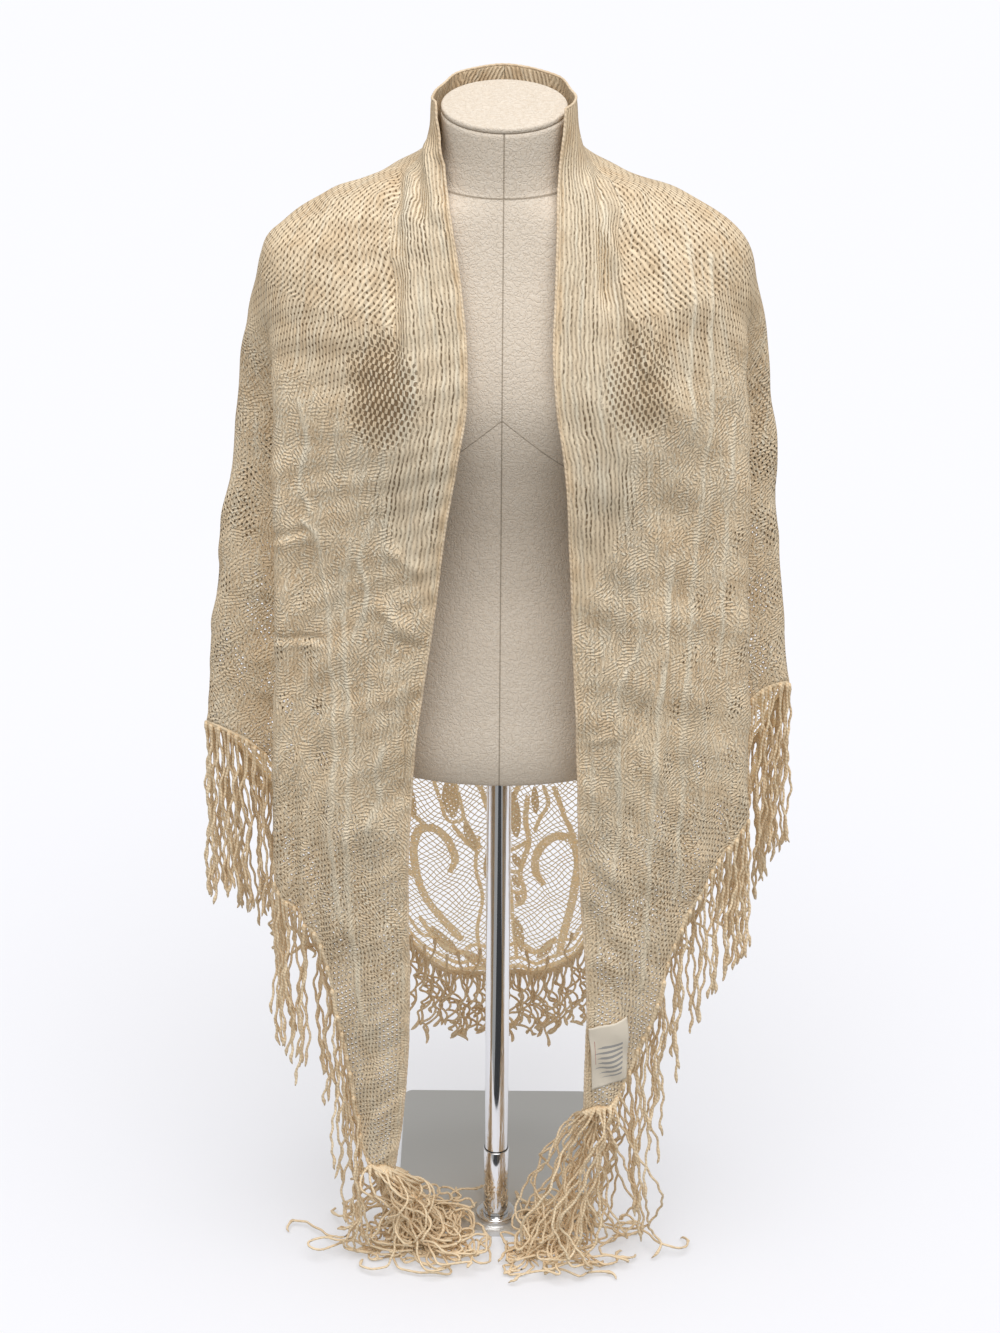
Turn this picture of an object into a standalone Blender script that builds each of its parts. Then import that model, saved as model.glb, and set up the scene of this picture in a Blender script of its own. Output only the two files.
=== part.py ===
"""Three-cornered lace shawl with a knotted fringe, worn open on a limbless dress form and its stand.

Metres, +Z up. The origin is on the floor under the middle of the pole; -Y is the front, +X the
viewer's right. The shawl is one knitted triangle: its long straight edge runs round the back of the
neck and down both fronts, and its two short edges carry the fringe. Every point of the cloth is
found from two numbers: turn, from -1 at the left front edge through 0 at the middle of the back to
+1 at the right front edge, and drop, the distance along the cloth from the collar edge.
"""

import math
from collections import namedtuple

import bpy
import numpy as np

# Driving sizes of the cloth
WALL = 0.0022  # knitted cloth with its loops
SEAM_GAP = 0.0006  # between two stretches of the cloth
TUCK_TURN = 0.622  # where the side tucks part the fronts from the back
STEP = 0.0005  # for slopes of the drape

# Driving sizes of the gaps that are cut through the lace border
LACE_BORDER = 0.26  # the border's depth above the fringe
GAP_WIDTH = 0.0075
GAP_HEIGHT = 0.0110

# Driving sizes of the fringe
BAND = 0.005  # woven band that holds the roots of the fringe
BAND_END = 0.05  # share of a column that a band leaves free at the shawl's points
FRINGE_GAP = 0.0008  # between the band and the cloth
LOCK_PITCH = 0.0173
LOCK_STACK = 0.15  # how much of the hem's fall counts towards the pitch
LOCK_WIDTH = 0.0050  # a lock stands for several yarns
LOCK_DEPTH = 0.0036
LOCK_TIP = 0.0026
LOCK_WAVE = 0.0026
FLOOR_HEIGHT = 0.0065  # middle of a lock that lies on the floor
BARE_TUCK = (0.575, 0.665)  # no locks stand in the bottom of a side tuck

# Driving sizes of the stand
PLATE_WIDTH = 0.218
PLATE_FRONT = 0.030  # in front of the pole's middle
PLATE_BACK = 0.243
PLATE_THICK = 0.008
PLATE_CORNER = 0.010
POLE_RADIUS = 0.0127
SLEEVE_RADIUS = 0.0139
SLEEVE_HEIGHT = 0.098
FOOT_RADIUS = 0.022
FOOT_HEIGHT = 0.006
PART_GAP = 0.0003

# Driving sizes of the dress form
FORM_BASE = 0.595
NECK_TOP = 1.240
NECK_RADIUS = 0.058
NECK_TILT = 0.16  # the neck slopes down to the front
CAP_THICK = 0.006
FORM_SIDES = 32

# One row for each horizontal turn of the cloth, from the collar down. The sizes are the ring's
# half width and height at the side, its reach and height in front and behind, where the two
# straight front edges hang, and how far forward the side tucks are pulled, in turns.
Ring = namedtuple(
    "Ring",
    "drop side_x side_z front_y front_z back_y back_z left_edge right_edge left_pull right_pull",
)
RINGS = (
    Ring(0.000, 0.0655, 1.251, 0.060, 1.243, 0.073, 1.265, 0.0625, 0.0550, 0.000, 0.000),
    Ring(0.035, 0.0690, 1.219, 0.063, 1.212, 0.072, 1.234, 0.0585, 0.0525, 0.000, 0.000),
    Ring(0.070, 0.0820, 1.189, 0.068, 1.180, 0.079, 1.208, 0.0535, 0.0495, 0.000, 0.000),
    Ring(0.110, 0.1160, 1.174, 0.082, 1.143, 0.092, 1.170, 0.0465, 0.0490, 0.000, 0.000),
    Ring(0.165, 0.1660, 1.157, 0.102, 1.093, 0.104, 1.117, 0.0380, 0.0480, 0.000, 0.000),
    Ring(0.225, 0.2185, 1.119, 0.123, 1.037, 0.114, 1.058, 0.0325, 0.0465, 0.000, 0.000),
    Ring(0.270, 0.2325, 1.079, 0.134, 0.993, 0.119, 1.013, 0.0330, 0.0500, 0.000, -0.010),
    Ring(0.320, 0.2460, 1.030, 0.141, 0.943, 0.123, 0.963, 0.0410, 0.0575, 0.004, -0.030),
    Ring(0.390, 0.2560, 0.960, 0.143, 0.873, 0.128, 0.893, 0.0525, 0.0630, 0.018, -0.034),
    Ring(0.460, 0.2600, 0.890, 0.142, 0.803, 0.134, 0.823, 0.0605, 0.0665, 0.036, -0.018),
    Ring(0.610, 0.2750, 0.740, 0.140, 0.653, 0.147, 0.674, 0.0805, 0.0745, 0.076, 0.010),
    Ring(0.760, 0.2880, 0.590, 0.134, 0.503, 0.156, 0.524, 0.0895, 0.0805, 0.090, 0.024),
    Ring(0.910, 0.2760, 0.440, 0.124, 0.353, 0.161, 0.374, 0.0895, 0.0910, 0.080, 0.024),
    Ring(1.060, 0.2560, 0.290, 0.108, 0.204, 0.164, 0.224, 0.0970, 0.0910, 0.070, 0.022),
    Ring(1.210, 0.2500, 0.140, 0.084, 0.060, 0.165, 0.074, 0.1150, 0.1000, 0.060, 0.022),
)
PULL_TURN = 0.68  # where the pull is strongest, and how far round it reaches
PULL_REACH = 0.14

# One row for each soft fold: where it lies, the drops between which it runs, how far it stands out
# of the drape (in where negative), its half width in turns, and how far it wanders on its way down.
Fold = namedtuple("Fold", "turn start end rise half_width sway")
FOLDS = (
    # the deep tuck under each arm, with the front's folded edge beside it
    Fold(-0.622, 0.250, 1.300, -0.054, 0.062, 0.000),
    Fold(0.622, 0.250, 1.300, -0.050, 0.062, 0.000),
    Fold(-0.735, 0.300, 1.300, 0.011, 0.035, 0.000),
    Fold(0.740, 0.300, 1.300, 0.010, 0.035, 0.000),
    Fold(-0.510, 0.400, 1.000, 0.012, 0.050, 0.010),
    Fold(0.515, 0.280, 1.000, 0.010, 0.050, -0.010),
    # the bust lifts the cloth
    Fold(-0.900, 0.180, 0.420, 0.011, 0.080, 0.000),
    Fold(0.890, 0.180, 0.420, 0.011, 0.080, 0.000),
    # the collar stands squarely behind the neck
    Fold(-0.360, -0.200, 0.220, 0.005, 0.110, 0.000),
    Fold(0.360, -0.200, 0.220, 0.005, 0.110, 0.000),
    # gathers that fan out from the sides of the neck
    Fold(-0.930, 0.050, 0.400, 0.005, 0.030, 0.020),
    Fold(-0.840, 0.040, 0.330, 0.006, 0.030, 0.030),
    Fold(-0.740, 0.040, 0.260, 0.005, 0.030, 0.030),
    Fold(-0.500, 0.040, 0.240, 0.004, 0.035, 0.000),
    Fold(0.950, 0.040, 0.420, 0.005, 0.026, -0.010),
    Fold(0.880, 0.040, 0.420, 0.006, 0.026, -0.040),
    Fold(0.800, 0.040, 0.330, 0.006, 0.028, -0.050),
    Fold(0.700, 0.040, 0.260, 0.005, 0.030, -0.030),
    Fold(0.480, 0.040, 0.240, 0.004, 0.035, 0.000),
    Fold(0.560, 0.060, 0.420, 0.007, 0.120, 0.000),
    # long soft folds of the left front
    Fold(-0.960, 0.420, 1.300, 0.006, 0.022, 0.000),
    Fold(-0.890, 0.540, 1.120, 0.008, 0.024, 0.010),
    Fold(-0.815, 0.600, 1.000, 0.007, 0.024, -0.012),
    # long soft folds of the right front
    Fold(0.960, 0.480, 1.200, 0.005, 0.020, 0.000),
    Fold(0.900, 0.420, 1.120, 0.007, 0.022, -0.010),
    Fold(0.825, 0.460, 0.960, 0.009, 0.026, 0.008),
    # the back hangs in rounded flutes from the shoulder blades
    Fold(-0.410, 0.360, 1.300, 0.012, 0.050, 0.020),
    Fold(-0.300, 0.420, 1.300, -0.013, 0.042, 0.010),
    Fold(-0.200, 0.340, 1.300, 0.013, 0.050, 0.010),
    Fold(-0.095, 0.460, 1.300, -0.010, 0.040, 0.005),
    Fold(0.010, 0.380, 1.300, 0.009, 0.045, 0.000),
    Fold(0.110, 0.440, 1.300, -0.011, 0.040, 0.000),
    Fold(0.215, 0.350, 1.300, 0.013, 0.050, -0.010),
    Fold(0.315, 0.430, 1.300, -0.012, 0.042, -0.010),
    Fold(0.415, 0.370, 1.300, 0.011, 0.050, -0.020),
)
FOLD_FADE = 0.16  # a fold rises and dies away over this much of its length

# One row for each place round the hem: how far down the cloth it lies on each side.
Hem = namedtuple("Hem", "turn left right")
HEMS = (
    Hem(0.00, 1.075, 1.075),
    Hem(0.10, 1.055, 1.055),
    Hem(0.20, 0.985, 0.980),
    Hem(0.30, 0.890, 0.880),
    Hem(0.40, 0.800, 0.775),
    Hem(0.50, 0.748, 0.705),
    Hem(0.56, 0.742, 0.692),
    Hem(0.61, 0.768, 0.722),
    Hem(0.67, 0.828, 0.772),
    Hem(0.74, 0.852, 0.788),
    Hem(0.80, 0.867, 0.818),
    Hem(0.85, 0.886, 0.858),
    Hem(0.88, 0.945, 0.906),
    Hem(0.91, 1.062, 0.990),
    Hem(0.94, 1.136, 1.046),
    Hem(1.00, 1.158, 1.062),
)

# One row for each place round the hem: how long the fringe hangs, and where on the floor what is
# longer than its root's height turns to, as an angle from +X.
Strand = namedtuple("Strand", "turn length heading")
STRANDS = (
    Strand(-1.00, 0.215, 0.00),
    Strand(-0.97, 0.215, -0.45),
    Strand(-0.94, 0.215, -1.00),
    Strand(-0.90, 0.210, -1.60),
    Strand(-0.60, 0.200, -2.00),
    Strand(-0.40, 0.195, 0.00),
    Strand(-0.20, 0.105, 0.00),
    Strand(0.00, 0.085, 0.00),
    Strand(0.20, 0.105, 0.00),
    Strand(0.40, 0.190, 0.00),
    Strand(0.60, 0.190, -1.00),
    Strand(0.90, 0.210, -1.60),
    Strand(0.94, 0.250, -1.80),
    Strand(0.97, 0.265, -2.20),
    Strand(1.00, 0.275, -2.70),
)

# One row for each level of the dress form, from the hip to the neck: half width and the reach in
# front and behind.
Level = namedtuple("Level", "z half_x front_y back_y")
LEVELS = (
    Level(FORM_BASE, 0.156, 0.102, 0.120),
    Level(0.612, 0.163, 0.107, 0.127),
    Level(0.680, 0.162, 0.105, 0.126),
    Level(0.740, 0.147, 0.097, 0.110),
    Level(0.800, 0.122, 0.086, 0.087),
    Level(0.845, 0.117, 0.086, 0.080),
    Level(0.900, 0.128, 0.097, 0.088),
    Level(0.950, 0.143, 0.109, 0.097),
    Level(0.990, 0.157, 0.112, 0.102),
    Level(1.030, 0.184, 0.106, 0.103),
    Level(1.070, 0.205, 0.094, 0.099),
    Level(1.100, 0.204, 0.083, 0.091),
    Level(1.125, 0.188, 0.075, 0.082),
    Level(1.142, 0.163, 0.070, 0.075),
    Level(1.156, 0.128, 0.066, 0.069),
    Level(1.167, 0.094, 0.063, 0.064),
    Level(1.178, 0.069, 0.060, 0.061),
    Level(1.195, 0.060, NECK_RADIUS, NECK_RADIUS),
    Level(NECK_TOP, NECK_RADIUS, NECK_RADIUS, NECK_RADIUS),
)
BUST = dict(x=0.080, z=0.985, rise=0.020, half_width=0.046, half_height=0.055)

CREAM = (0.80, 0.68, 0.50)
LINEN = (0.70, 0.64, 0.55)
STEEL = (0.45, 0.45, 0.44)


def smooth_column(rows, name, at):
    """A smooth curve through one column of a table, read at the values in its first column."""
    xs = np.array([row[0] for row in rows])
    ys = np.array([getattr(row, name) for row in rows])
    slopes = np.gradient(ys, xs)
    at = np.asarray(at, float)
    i = np.clip(np.searchsorted(xs, at, side="right") - 1, 0, len(xs) - 2)
    span = xs[i + 1] - xs[i]
    t = (at - xs[i]) / span
    return (
        ys[i] * (1 + 2 * t) * (1 - t) ** 2
        + slopes[i] * span * t * (1 - t) ** 2
        + ys[i + 1] * t**2 * (3 - 2 * t)
        + slopes[i + 1] * span * t**2 * (t - 1)
    )


def ease(t):
    t = np.clip(t, 0, 1)
    return t * t * (3 - 2 * t)


def unit(v):
    return v / np.maximum(np.linalg.norm(v, axis=-1, keepdims=True), 1e-9)


def hem_drop(turn):
    """How far down the cloth the hem lies."""
    turn = np.asarray(turn, float)
    left = smooth_column(HEMS, "left", np.abs(turn))
    right = smooth_column(HEMS, "right", np.abs(turn))
    return np.where(turn < 0, left, right)


def plain_drape(turn, drop):
    """The drape with no folds: an oval ring round the form at each drop, open in front."""
    turn, drop = np.broadcast_arrays(np.asarray(turn, float), np.asarray(drop, float))
    ring = {name: smooth_column(RINGS, name, drop) for name in Ring._fields[1:]}
    edge = np.where(turn < 0, ring["left_edge"], ring["right_edge"])
    edge_angle = np.arcsin(np.clip(edge / ring["side_x"], 0, 0.98))
    pull = np.where(turn < 0, ring["left_pull"], ring["right_pull"])
    pull = pull * np.exp(-(((np.abs(turn) - PULL_TURN) / PULL_REACH) ** 2))
    angle = math.pi - (math.pi - edge_angle) * (np.abs(turn) + pull)
    forward = np.cos(angle)
    in_front = forward > 0
    end_y = np.where(in_front, ring["front_y"], ring["back_y"])
    end_z = np.where(in_front, ring["front_z"], ring["back_z"])
    x = np.sign(turn) * ring["side_x"] * np.sin(angle)
    y = -forward * end_y
    z = ring["side_z"] + (end_z - ring["side_z"]) * forward**2
    return np.stack([x, y, z], -1)


def facing(shape, turn, drop):
    """Outward direction of a surface given as a function of turn and drop."""
    across = shape(turn + STEP, drop) - shape(turn - STEP, drop)
    down = shape(turn, drop + STEP) - shape(turn, drop - STEP)
    return unit(np.cross(across, down))


def fold_rise(turn, drop):
    """How far all the folds together move the cloth out of the plain drape."""
    rise = np.zeros(np.broadcast(turn, drop).shape)
    for fold in FOLDS:
        progress = (drop - fold.start) / (fold.end - fold.start)
        middle = fold.turn + fold.sway * progress
        envelope = ease((drop - fold.start) / FOLD_FADE) * ease((fold.end - drop) / FOLD_FADE)
        rise += fold.rise * envelope * np.exp(-(((turn - middle) / fold.half_width) ** 2))
    return rise


def cloth(turn, drop):
    """The middle of the cloth's thickness."""
    turn, drop = np.broadcast_arrays(np.asarray(turn, float), np.asarray(drop, float))
    rise = fold_rise(turn, drop)[..., None]
    return plain_drape(turn, drop) + rise * facing(plain_drape, turn, drop)


def make_object(name, points, faces, colour, roughness=0.8, metallic=0.0):
    """A named object with its own plain material, from points in the part's frame."""
    mesh = bpy.data.meshes.new(name)
    mesh.from_pydata([tuple(map(float, p)) for p in points], [], faces)
    mesh.validate()
    material = bpy.data.materials.new(name)
    material.use_nodes = True
    shader = material.node_tree.nodes["Principled BSDF"]
    shader.inputs["Base Color"].default_value = (*colour, 1.0)
    shader.inputs["Roughness"].default_value = roughness
    shader.inputs["Metallic"].default_value = metallic
    mesh.materials.append(material)
    mesh.shade_smooth()
    obj = bpy.data.objects.new(name, mesh)
    bpy.context.scene.collection.objects.link(obj)
    return obj


def above_hem(turn, distance):
    """How far down the cloth a line lies that runs at a distance above the hem."""
    hem = hem_drop(turn)
    across = np.linalg.norm(cloth(turn + STEP, hem) - cloth(turn - STEP, hem), axis=-1)
    fall = hem_drop(turn + STEP) - hem_drop(turn - STEP)
    return hem - distance * np.hypot(1, fall / across)


def wall_from_grid(name, middle, out, thickness, holes=None, colour=CREAM):
    """A closed wall of even thickness on a grid of points. holes marks the grid cells that have a
    lozenge cut through them."""
    rows, columns = middle.shape[:2]
    count = rows * columns
    half = out * (thickness / 2)
    points = [*(middle + half).reshape(-1, 3), *(middle - half).reshape(-1, 3)]
    faces = []

    def at(row, column):
        return row * columns + column

    for row in range(rows - 1):
        for column in range(columns - 1):
            outer = [at(row, column), at(row, column + 1)]
            outer += [at(row + 1, column + 1), at(row + 1, column)]
            inner = [corner + count for corner in outer]
            if holes is None or not holes[row, column]:
                spans = [middle[row + k // 2, column + (k in (1, 2))] for k in range(4)]
                turn = np.linalg.norm(spans[0] - spans[2]) > np.linalg.norm(spans[1] - spans[3])
                for a, b, c in ((1, 2, 3), (1, 3, 0)) if turn else ((0, 1, 2), (0, 2, 3)):
                    faces += [[outer[a], outer[b], outer[c]], [inner[c], inner[b], inner[a]]]
                continue
            rims = []
            for ring in (outer, inner):
                corners = np.array([points[corner] for corner in ring])
                centre = corners.mean(0)
                sides = (corners + np.roll(corners, -1, 0)) / 2 - centre
                reach = np.array([GAP_HEIGHT, GAP_WIDTH, GAP_HEIGHT, GAP_WIDTH]) / 2
                start = len(points)
                points += list(centre + unit(sides) * reach[:, None])
                rims.append([start + k for k in range(4)])
            for k in range(4):
                n = (k + 1) % 4
                faces += [
                    [outer[k], rims[0][k], rims[0][k - 1]],
                    [outer[k], outer[n], rims[0][k]],
                    [inner[k], rims[1][k - 1], rims[1][k]],
                    [inner[n], inner[k], rims[1][k]],
                    [rims[0][k], rims[0][n], rims[1][n], rims[1][k]],
                ]
    border = [at(row, 0) for row in range(rows)]
    border += [at(rows - 1, column) for column in range(1, columns)]
    border += [at(row, columns - 1) for row in range(rows - 2, -1, -1)]
    border += [at(0, column) for column in range(columns - 2, 0, -1)]
    for here, there in zip(border, border[1:] + border[:1]):
        if here < there:
            faces += [[here, there, there + count], [here, there + count, here + count]]
        else:
            faces += [[here, there, here + count], [there, there + count, here + count]]
    return make_object(name, points, faces, colour)


# One row for each stretch of the cloth. The stretches meet in the side tucks and are one piece of
# cloth on the real shawl.
Stretch = namedtuple("Stretch", "name fringe first last columns lock_steps")
STRETCHES = (
    Stretch("shawl_left_front", "fringe_left_front", -1.0, -TUCK_TURN, 18, 5),
    Stretch("shawl_back", "fringe_back", -TUCK_TURN, TUCK_TURN, 46, 4),
    Stretch("shawl_right_front", "fringe_right_front", TUCK_TURN, 1.0, 18, 5),
)
ROWS = 20
ROW_SPREAD = 1.35  # rows are closer together over the neck and shoulders


def make_cloth(stretch):
    """The wall of one stretch of the cloth. In the lace border the largest gap of each repeat is
    cut through, in cells a fixed count apart."""
    turns = np.linspace(stretch.first, stretch.last, stretch.columns + 1)
    down = (np.arange(ROWS + 1) / ROWS) ** ROW_SPREAD
    ends = above_hem(turns, BAND + FRINGE_GAP)
    drops = down[:, None] * ends[None, :]
    turns = np.broadcast_to(turns, drops.shape)
    middle, out = cloth(turns, drops), facing(cloth, turns, drops)
    for side, inner in ((0, 1), (stretch.columns, stretch.columns - 1)):
        if abs(turns[0, side]) < 1:
            along = unit(middle[:, inner] - middle[:, side])
            middle[:, side] += along * (SEAM_GAP / 2)
    to_hem = hem_drop(turns) - drops
    row, column = np.indices((ROWS, stretch.columns))
    inside = (row < ROWS - 1) & (column > 0) & (column < stretch.columns - 1)
    holes = inside & (to_hem[:-1, :-1] < LACE_BORDER) & ((row + 2 * column) % 3 == 0)
    return wall_from_grid(stretch.name, middle, out, WALL, holes)


def lock_path(root, seed, length, heading, steps):
    """Middle line of one lock of fringe: it hangs with a slight wave, and what is longer than the
    height of its root turns along the floor."""
    points = []
    for step in np.linspace(0, 1, steps + 1)[1:]:
        along = step * length
        hang = min(length, root[2] - FLOOR_HEIGHT)
        wave = LOCK_WAVE * math.sin(2.2 * math.pi * step + seed) * ease(step * 3)
        run = max(0.0, along - hang)
        points.append(
            (
                root[0] + wave + run * math.cos(heading),
                root[1] + 0.5 * wave + run * math.sin(heading),
                root[2] - min(along, hang),
            )
        )
    return np.array(points)


def fringe_cells(line, turns):
    """Cuts a hem line into cells, as a segment, a start and an end along it, and whether a lock
    of fringe grows there."""
    steps = np.diff(line, axis=0)
    lengths = np.linalg.norm(steps, axis=1)
    runs = np.hypot(steps[:, 0], steps[:, 1]) + LOCK_STACK * np.abs(steps[:, 2])
    ends = np.concatenate([[0], np.cumsum(runs)])
    count = round(ends[-1] / LOCK_PITCH)
    centres = (np.arange(count) + 0.5) * ends[-1] / count
    cells = []
    for k, length in enumerate(lengths):
        half = LOCK_WIDTH / 2 / length
        done = 0.0
        for centre in centres[(centres >= ends[k]) & (centres < ends[k + 1])]:
            middle = (centre - ends[k]) / runs[k]
            if BARE_TUCK[0] < abs(turns[k]) < BARE_TUCK[1]:
                continue
            middle = min(max(middle, done + 1.3 * half), 1 - 1.3 * half)
            cells.append((k, done, middle - half, False))
            cells.append((k, middle - half, middle + half, True))
            done = middle + half
        cells.append((k, done, 1.0, False))
    return cells


def make_fringe(stretch):
    """A band along the hem of one stretch, with locks of fringe growing from its lower face. It
    stops one column short of the side tucks."""
    turns = np.linspace(stretch.first, stretch.last, stretch.columns + 1)
    top, hem = above_hem(turns, BAND), hem_drop(turns)
    top_out, hem_out = facing(cloth, turns, top), facing(cloth, turns, hem)
    half = WALL / 2
    corners = np.stack(
        [
            cloth(turns, top) - top_out * half,
            cloth(turns, top) + top_out * half,
            cloth(turns, hem) + hem_out * half,
            cloth(turns, hem) - hem_out * half,
        ],
        1,
    )
    for end, inner in ((0, 1), (stretch.columns, stretch.columns - 1)):
        if abs(turns[end]) == 1:
            corners[end] += (corners[inner] - corners[end]) * BAND_END
    clear = np.abs(np.abs(turns) - TUCK_TURN) > 0.001
    corners, turns = corners[clear], turns[clear]
    cells = fringe_cells((corners[:, 2] + corners[:, 3]) / 2, turns)
    points = list(corners[0])
    faces = [[0, 1, 2, 3]]
    locks = 0
    a = 0
    for segment, start, end, grows in cells:
        b = len(points)
        points += list(corners[segment] * (1 - end) + corners[segment + 1] * end)
        faces.append([a, b, b + 1, a + 1])
        faces.append([a + 1, b + 1, b + 2, a + 2])
        faces.append([b, a, a + 3, b + 3])
        root = [a + 2, b + 2, b + 3, a + 3]
        a = b
        if not grows:
            faces.append(root)
            continue
        locks += 1
        turn = turns[segment] + (turns[segment + 1] - turns[segment]) * (start + end) / 2
        grow_lock(points, faces, root, float(turn), locks, stretch.lock_steps)
    faces.append([a + 3, a + 2, a + 1, a])
    return make_object(stretch.fringe, points, faces, CREAM)


def grow_lock(points, faces, root, turn, number, steps):
    """Adds one lock of fringe to a list of points and faces, out of the root's four corners."""
    centre = np.mean([points[k] for k in root], axis=0)
    level = unit((np.array(points[root[1]]) - np.array(points[root[0]])) * (1, 1, 0))
    length = smooth_column(STRANDS, "length", turn) * (0.94 + 0.06 * math.sin(5.1 * number))
    heading = smooth_column(STRANDS, "heading", turn)
    hanging = lock_path(centre, 0.6 * number, float(length), float(heading), steps)
    path = np.vstack([centre, hanging])
    ring = root
    for k in range(1, len(path)):
        ahead = unit(path[min(k + 1, steps)] - path[k - 1])
        wide = unit(level - ahead * np.dot(level, ahead))
        deep = np.cross(ahead, wide)
        share = k / steps
        w = (LOCK_WIDTH * (1 - share) + LOCK_TIP * share) / 2
        d = (LOCK_DEPTH * (1 - share) + LOCK_TIP * share) / 2
        now = [len(points) + c for c in range(4)]
        for side, face in ((-1, -1), (1, -1), (1, 1), (-1, 1)):
            points.append(path[k] + wide * (side * w) + deep * (face * d))
        for c in range(4):
            n = (c + 1) % 4
            faces.append([ring[c], ring[n], now[n], now[c]])
        ring = now
    faces.append(ring)


def make_label():
    """The woven care label, sewn near the right point, with nothing printed on it."""
    turns = np.linspace(0.944, 0.998, 4)
    drops = np.linspace(0.946, 1.029, 5)
    lean = 0.008 * (drops - drops[0]) / (drops[-1] - drops[0])
    turn_grid = turns[None, :] - lean[:, None]
    drop_grid = np.broadcast_to(drops[:, None], turn_grid.shape)
    out = facing(cloth, turn_grid, drop_grid)
    middle = cloth(turn_grid, drop_grid) + out * (WALL / 2 + 0.0020)
    wall_from_grid("care_label", middle, out, 0.001, colour=(0.85, 0.78, 0.64))


def form_ring(z):
    """One level of the dress form: an oval with the bust standing out in front."""
    half_x = smooth_column(LEVELS, "half_x", z)
    front_y = smooth_column(LEVELS, "front_y", z)
    back_y = smooth_column(LEVELS, "back_y", z)
    angle = np.arange(FORM_SIDES) * 2 * math.pi / FORM_SIDES
    x = half_x * np.sin(angle)
    y = -np.cos(angle) * np.where(np.cos(angle) > 0, front_y, back_y)
    high = (z - BUST["z"]) / BUST["half_height"]
    for side in (-1, 1):
        across = (x - side * BUST["x"]) / BUST["half_width"]
        bump = BUST["rise"] * np.exp(-(across**2) - high**2)
        y = y - np.where(np.cos(angle) > 0, bump, 0)
    tilt = NECK_TILT * ease((z - 1.15) / 0.05)
    return np.stack([x, y, z + tilt * y], -1)


def stack_of_rings(name, rings, colour, roughness=0.8, metallic=0.0):
    """A closed solid from rings of points, listed from the bottom to the top."""
    sides = len(rings[0])
    points = [p for ring in rings for p in ring]
    faces = [list(range(sides))[::-1]]
    for level in range(len(rings) - 1):
        for k in range(sides):
            n = (k + 1) % sides
            a, b = level * sides, (level + 1) * sides
            faces.append([a + k, a + n, b + n, b + k])
    faces.append([(len(rings) - 1) * sides + k for k in range(sides)])
    return make_object(name, points, faces, colour, roughness, metallic)


def make_form():
    heights = np.array([level.z for level in LEVELS])
    stack_of_rings("form_torso", [form_ring(z) for z in heights], LINEN, 0.9)
    rings = []
    for share, rise in ((1.0, PART_GAP), (1.0, 0.6 * CAP_THICK), (0.95, CAP_THICK)):
        ring = form_ring(NECK_TOP)
        middle = ring.mean(0)
        rings.append(middle + (ring - middle) * share + (0, 0, rise))
    stack_of_rings("form_neck_cap", rings, LINEN, 0.9)


def round_ring(radius, z, sides=24, x=0.0, y=0.0):
    angle = np.arange(sides) * 2 * math.pi / sides
    return np.stack([x + radius * np.sin(angle), y - radius * np.cos(angle), z + 0 * angle], -1)


def plate_outline(z, inset):
    """The base plate's outline with rounded corners."""
    corners = []
    half = PLATE_WIDTH / 2
    reach = PLATE_CORNER
    for cx, cy, start in (
        (half - reach, -PLATE_FRONT + reach, 0),
        (half - reach, PLATE_BACK - reach, 1),
        (-half + reach, PLATE_BACK - reach, 2),
        (-half + reach, -PLATE_FRONT + reach, 3),
    ):
        for k in range(4):
            angle = (start + k / 3) * math.pi / 2
            r = reach - inset
            corners.append((cx + r * math.sin(angle), cy - r * math.cos(angle), z))
    return np.array(corners)


def make_stand():
    edge = 0.0008
    plate = [
        plate_outline(0, 0),
        plate_outline(PLATE_THICK - edge, 0),
        plate_outline(PLATE_THICK, edge),
    ]
    stack_of_rings("stand_plate", plate, STEEL, 0.3, 1.0)
    foot_base = PLATE_THICK + PART_GAP
    foot_top = foot_base + FOOT_HEIGHT
    foot = [
        round_ring(FOOT_RADIUS, foot_base),
        round_ring(FOOT_RADIUS, foot_top - 0.0015),
        round_ring(FOOT_RADIUS - 0.0015, foot_top),
    ]
    stack_of_rings("stand_foot", foot, STEEL, 0.15, 1.0)
    sleeve_base = foot_top + PART_GAP
    sleeve = [
        round_ring(SLEEVE_RADIUS, sleeve_base),
        round_ring(SLEEVE_RADIUS, SLEEVE_HEIGHT - 0.001),
        round_ring(SLEEVE_RADIUS - 0.001, SLEEVE_HEIGHT),
    ]
    stack_of_rings("stand_sleeve", sleeve, STEEL, 0.15, 1.0)
    pole = [
        round_ring(POLE_RADIUS, SLEEVE_HEIGHT + PART_GAP),
        round_ring(POLE_RADIUS, FORM_BASE - PART_GAP),
    ]
    stack_of_rings("stand_pole", pole, STEEL, 0.15, 1.0)


def main():
    for obj in list(bpy.data.objects):
        bpy.data.objects.remove(obj, do_unlink=True)
    for stretch in STRETCHES:
        make_cloth(stretch)
        make_fringe(stretch)
    make_label()
    make_form()
    make_stand()


main()
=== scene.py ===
"""Looks of a three-cornered lace shawl worn on a limbless dress form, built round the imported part.

Metres, +Z up, -Y to the front. The script follows the object as it is put together: the form, its
stand, the drape of the cloth, the lace, the fringe and the label, and last the floor, the lights
and the camera.
"""

import math

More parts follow.
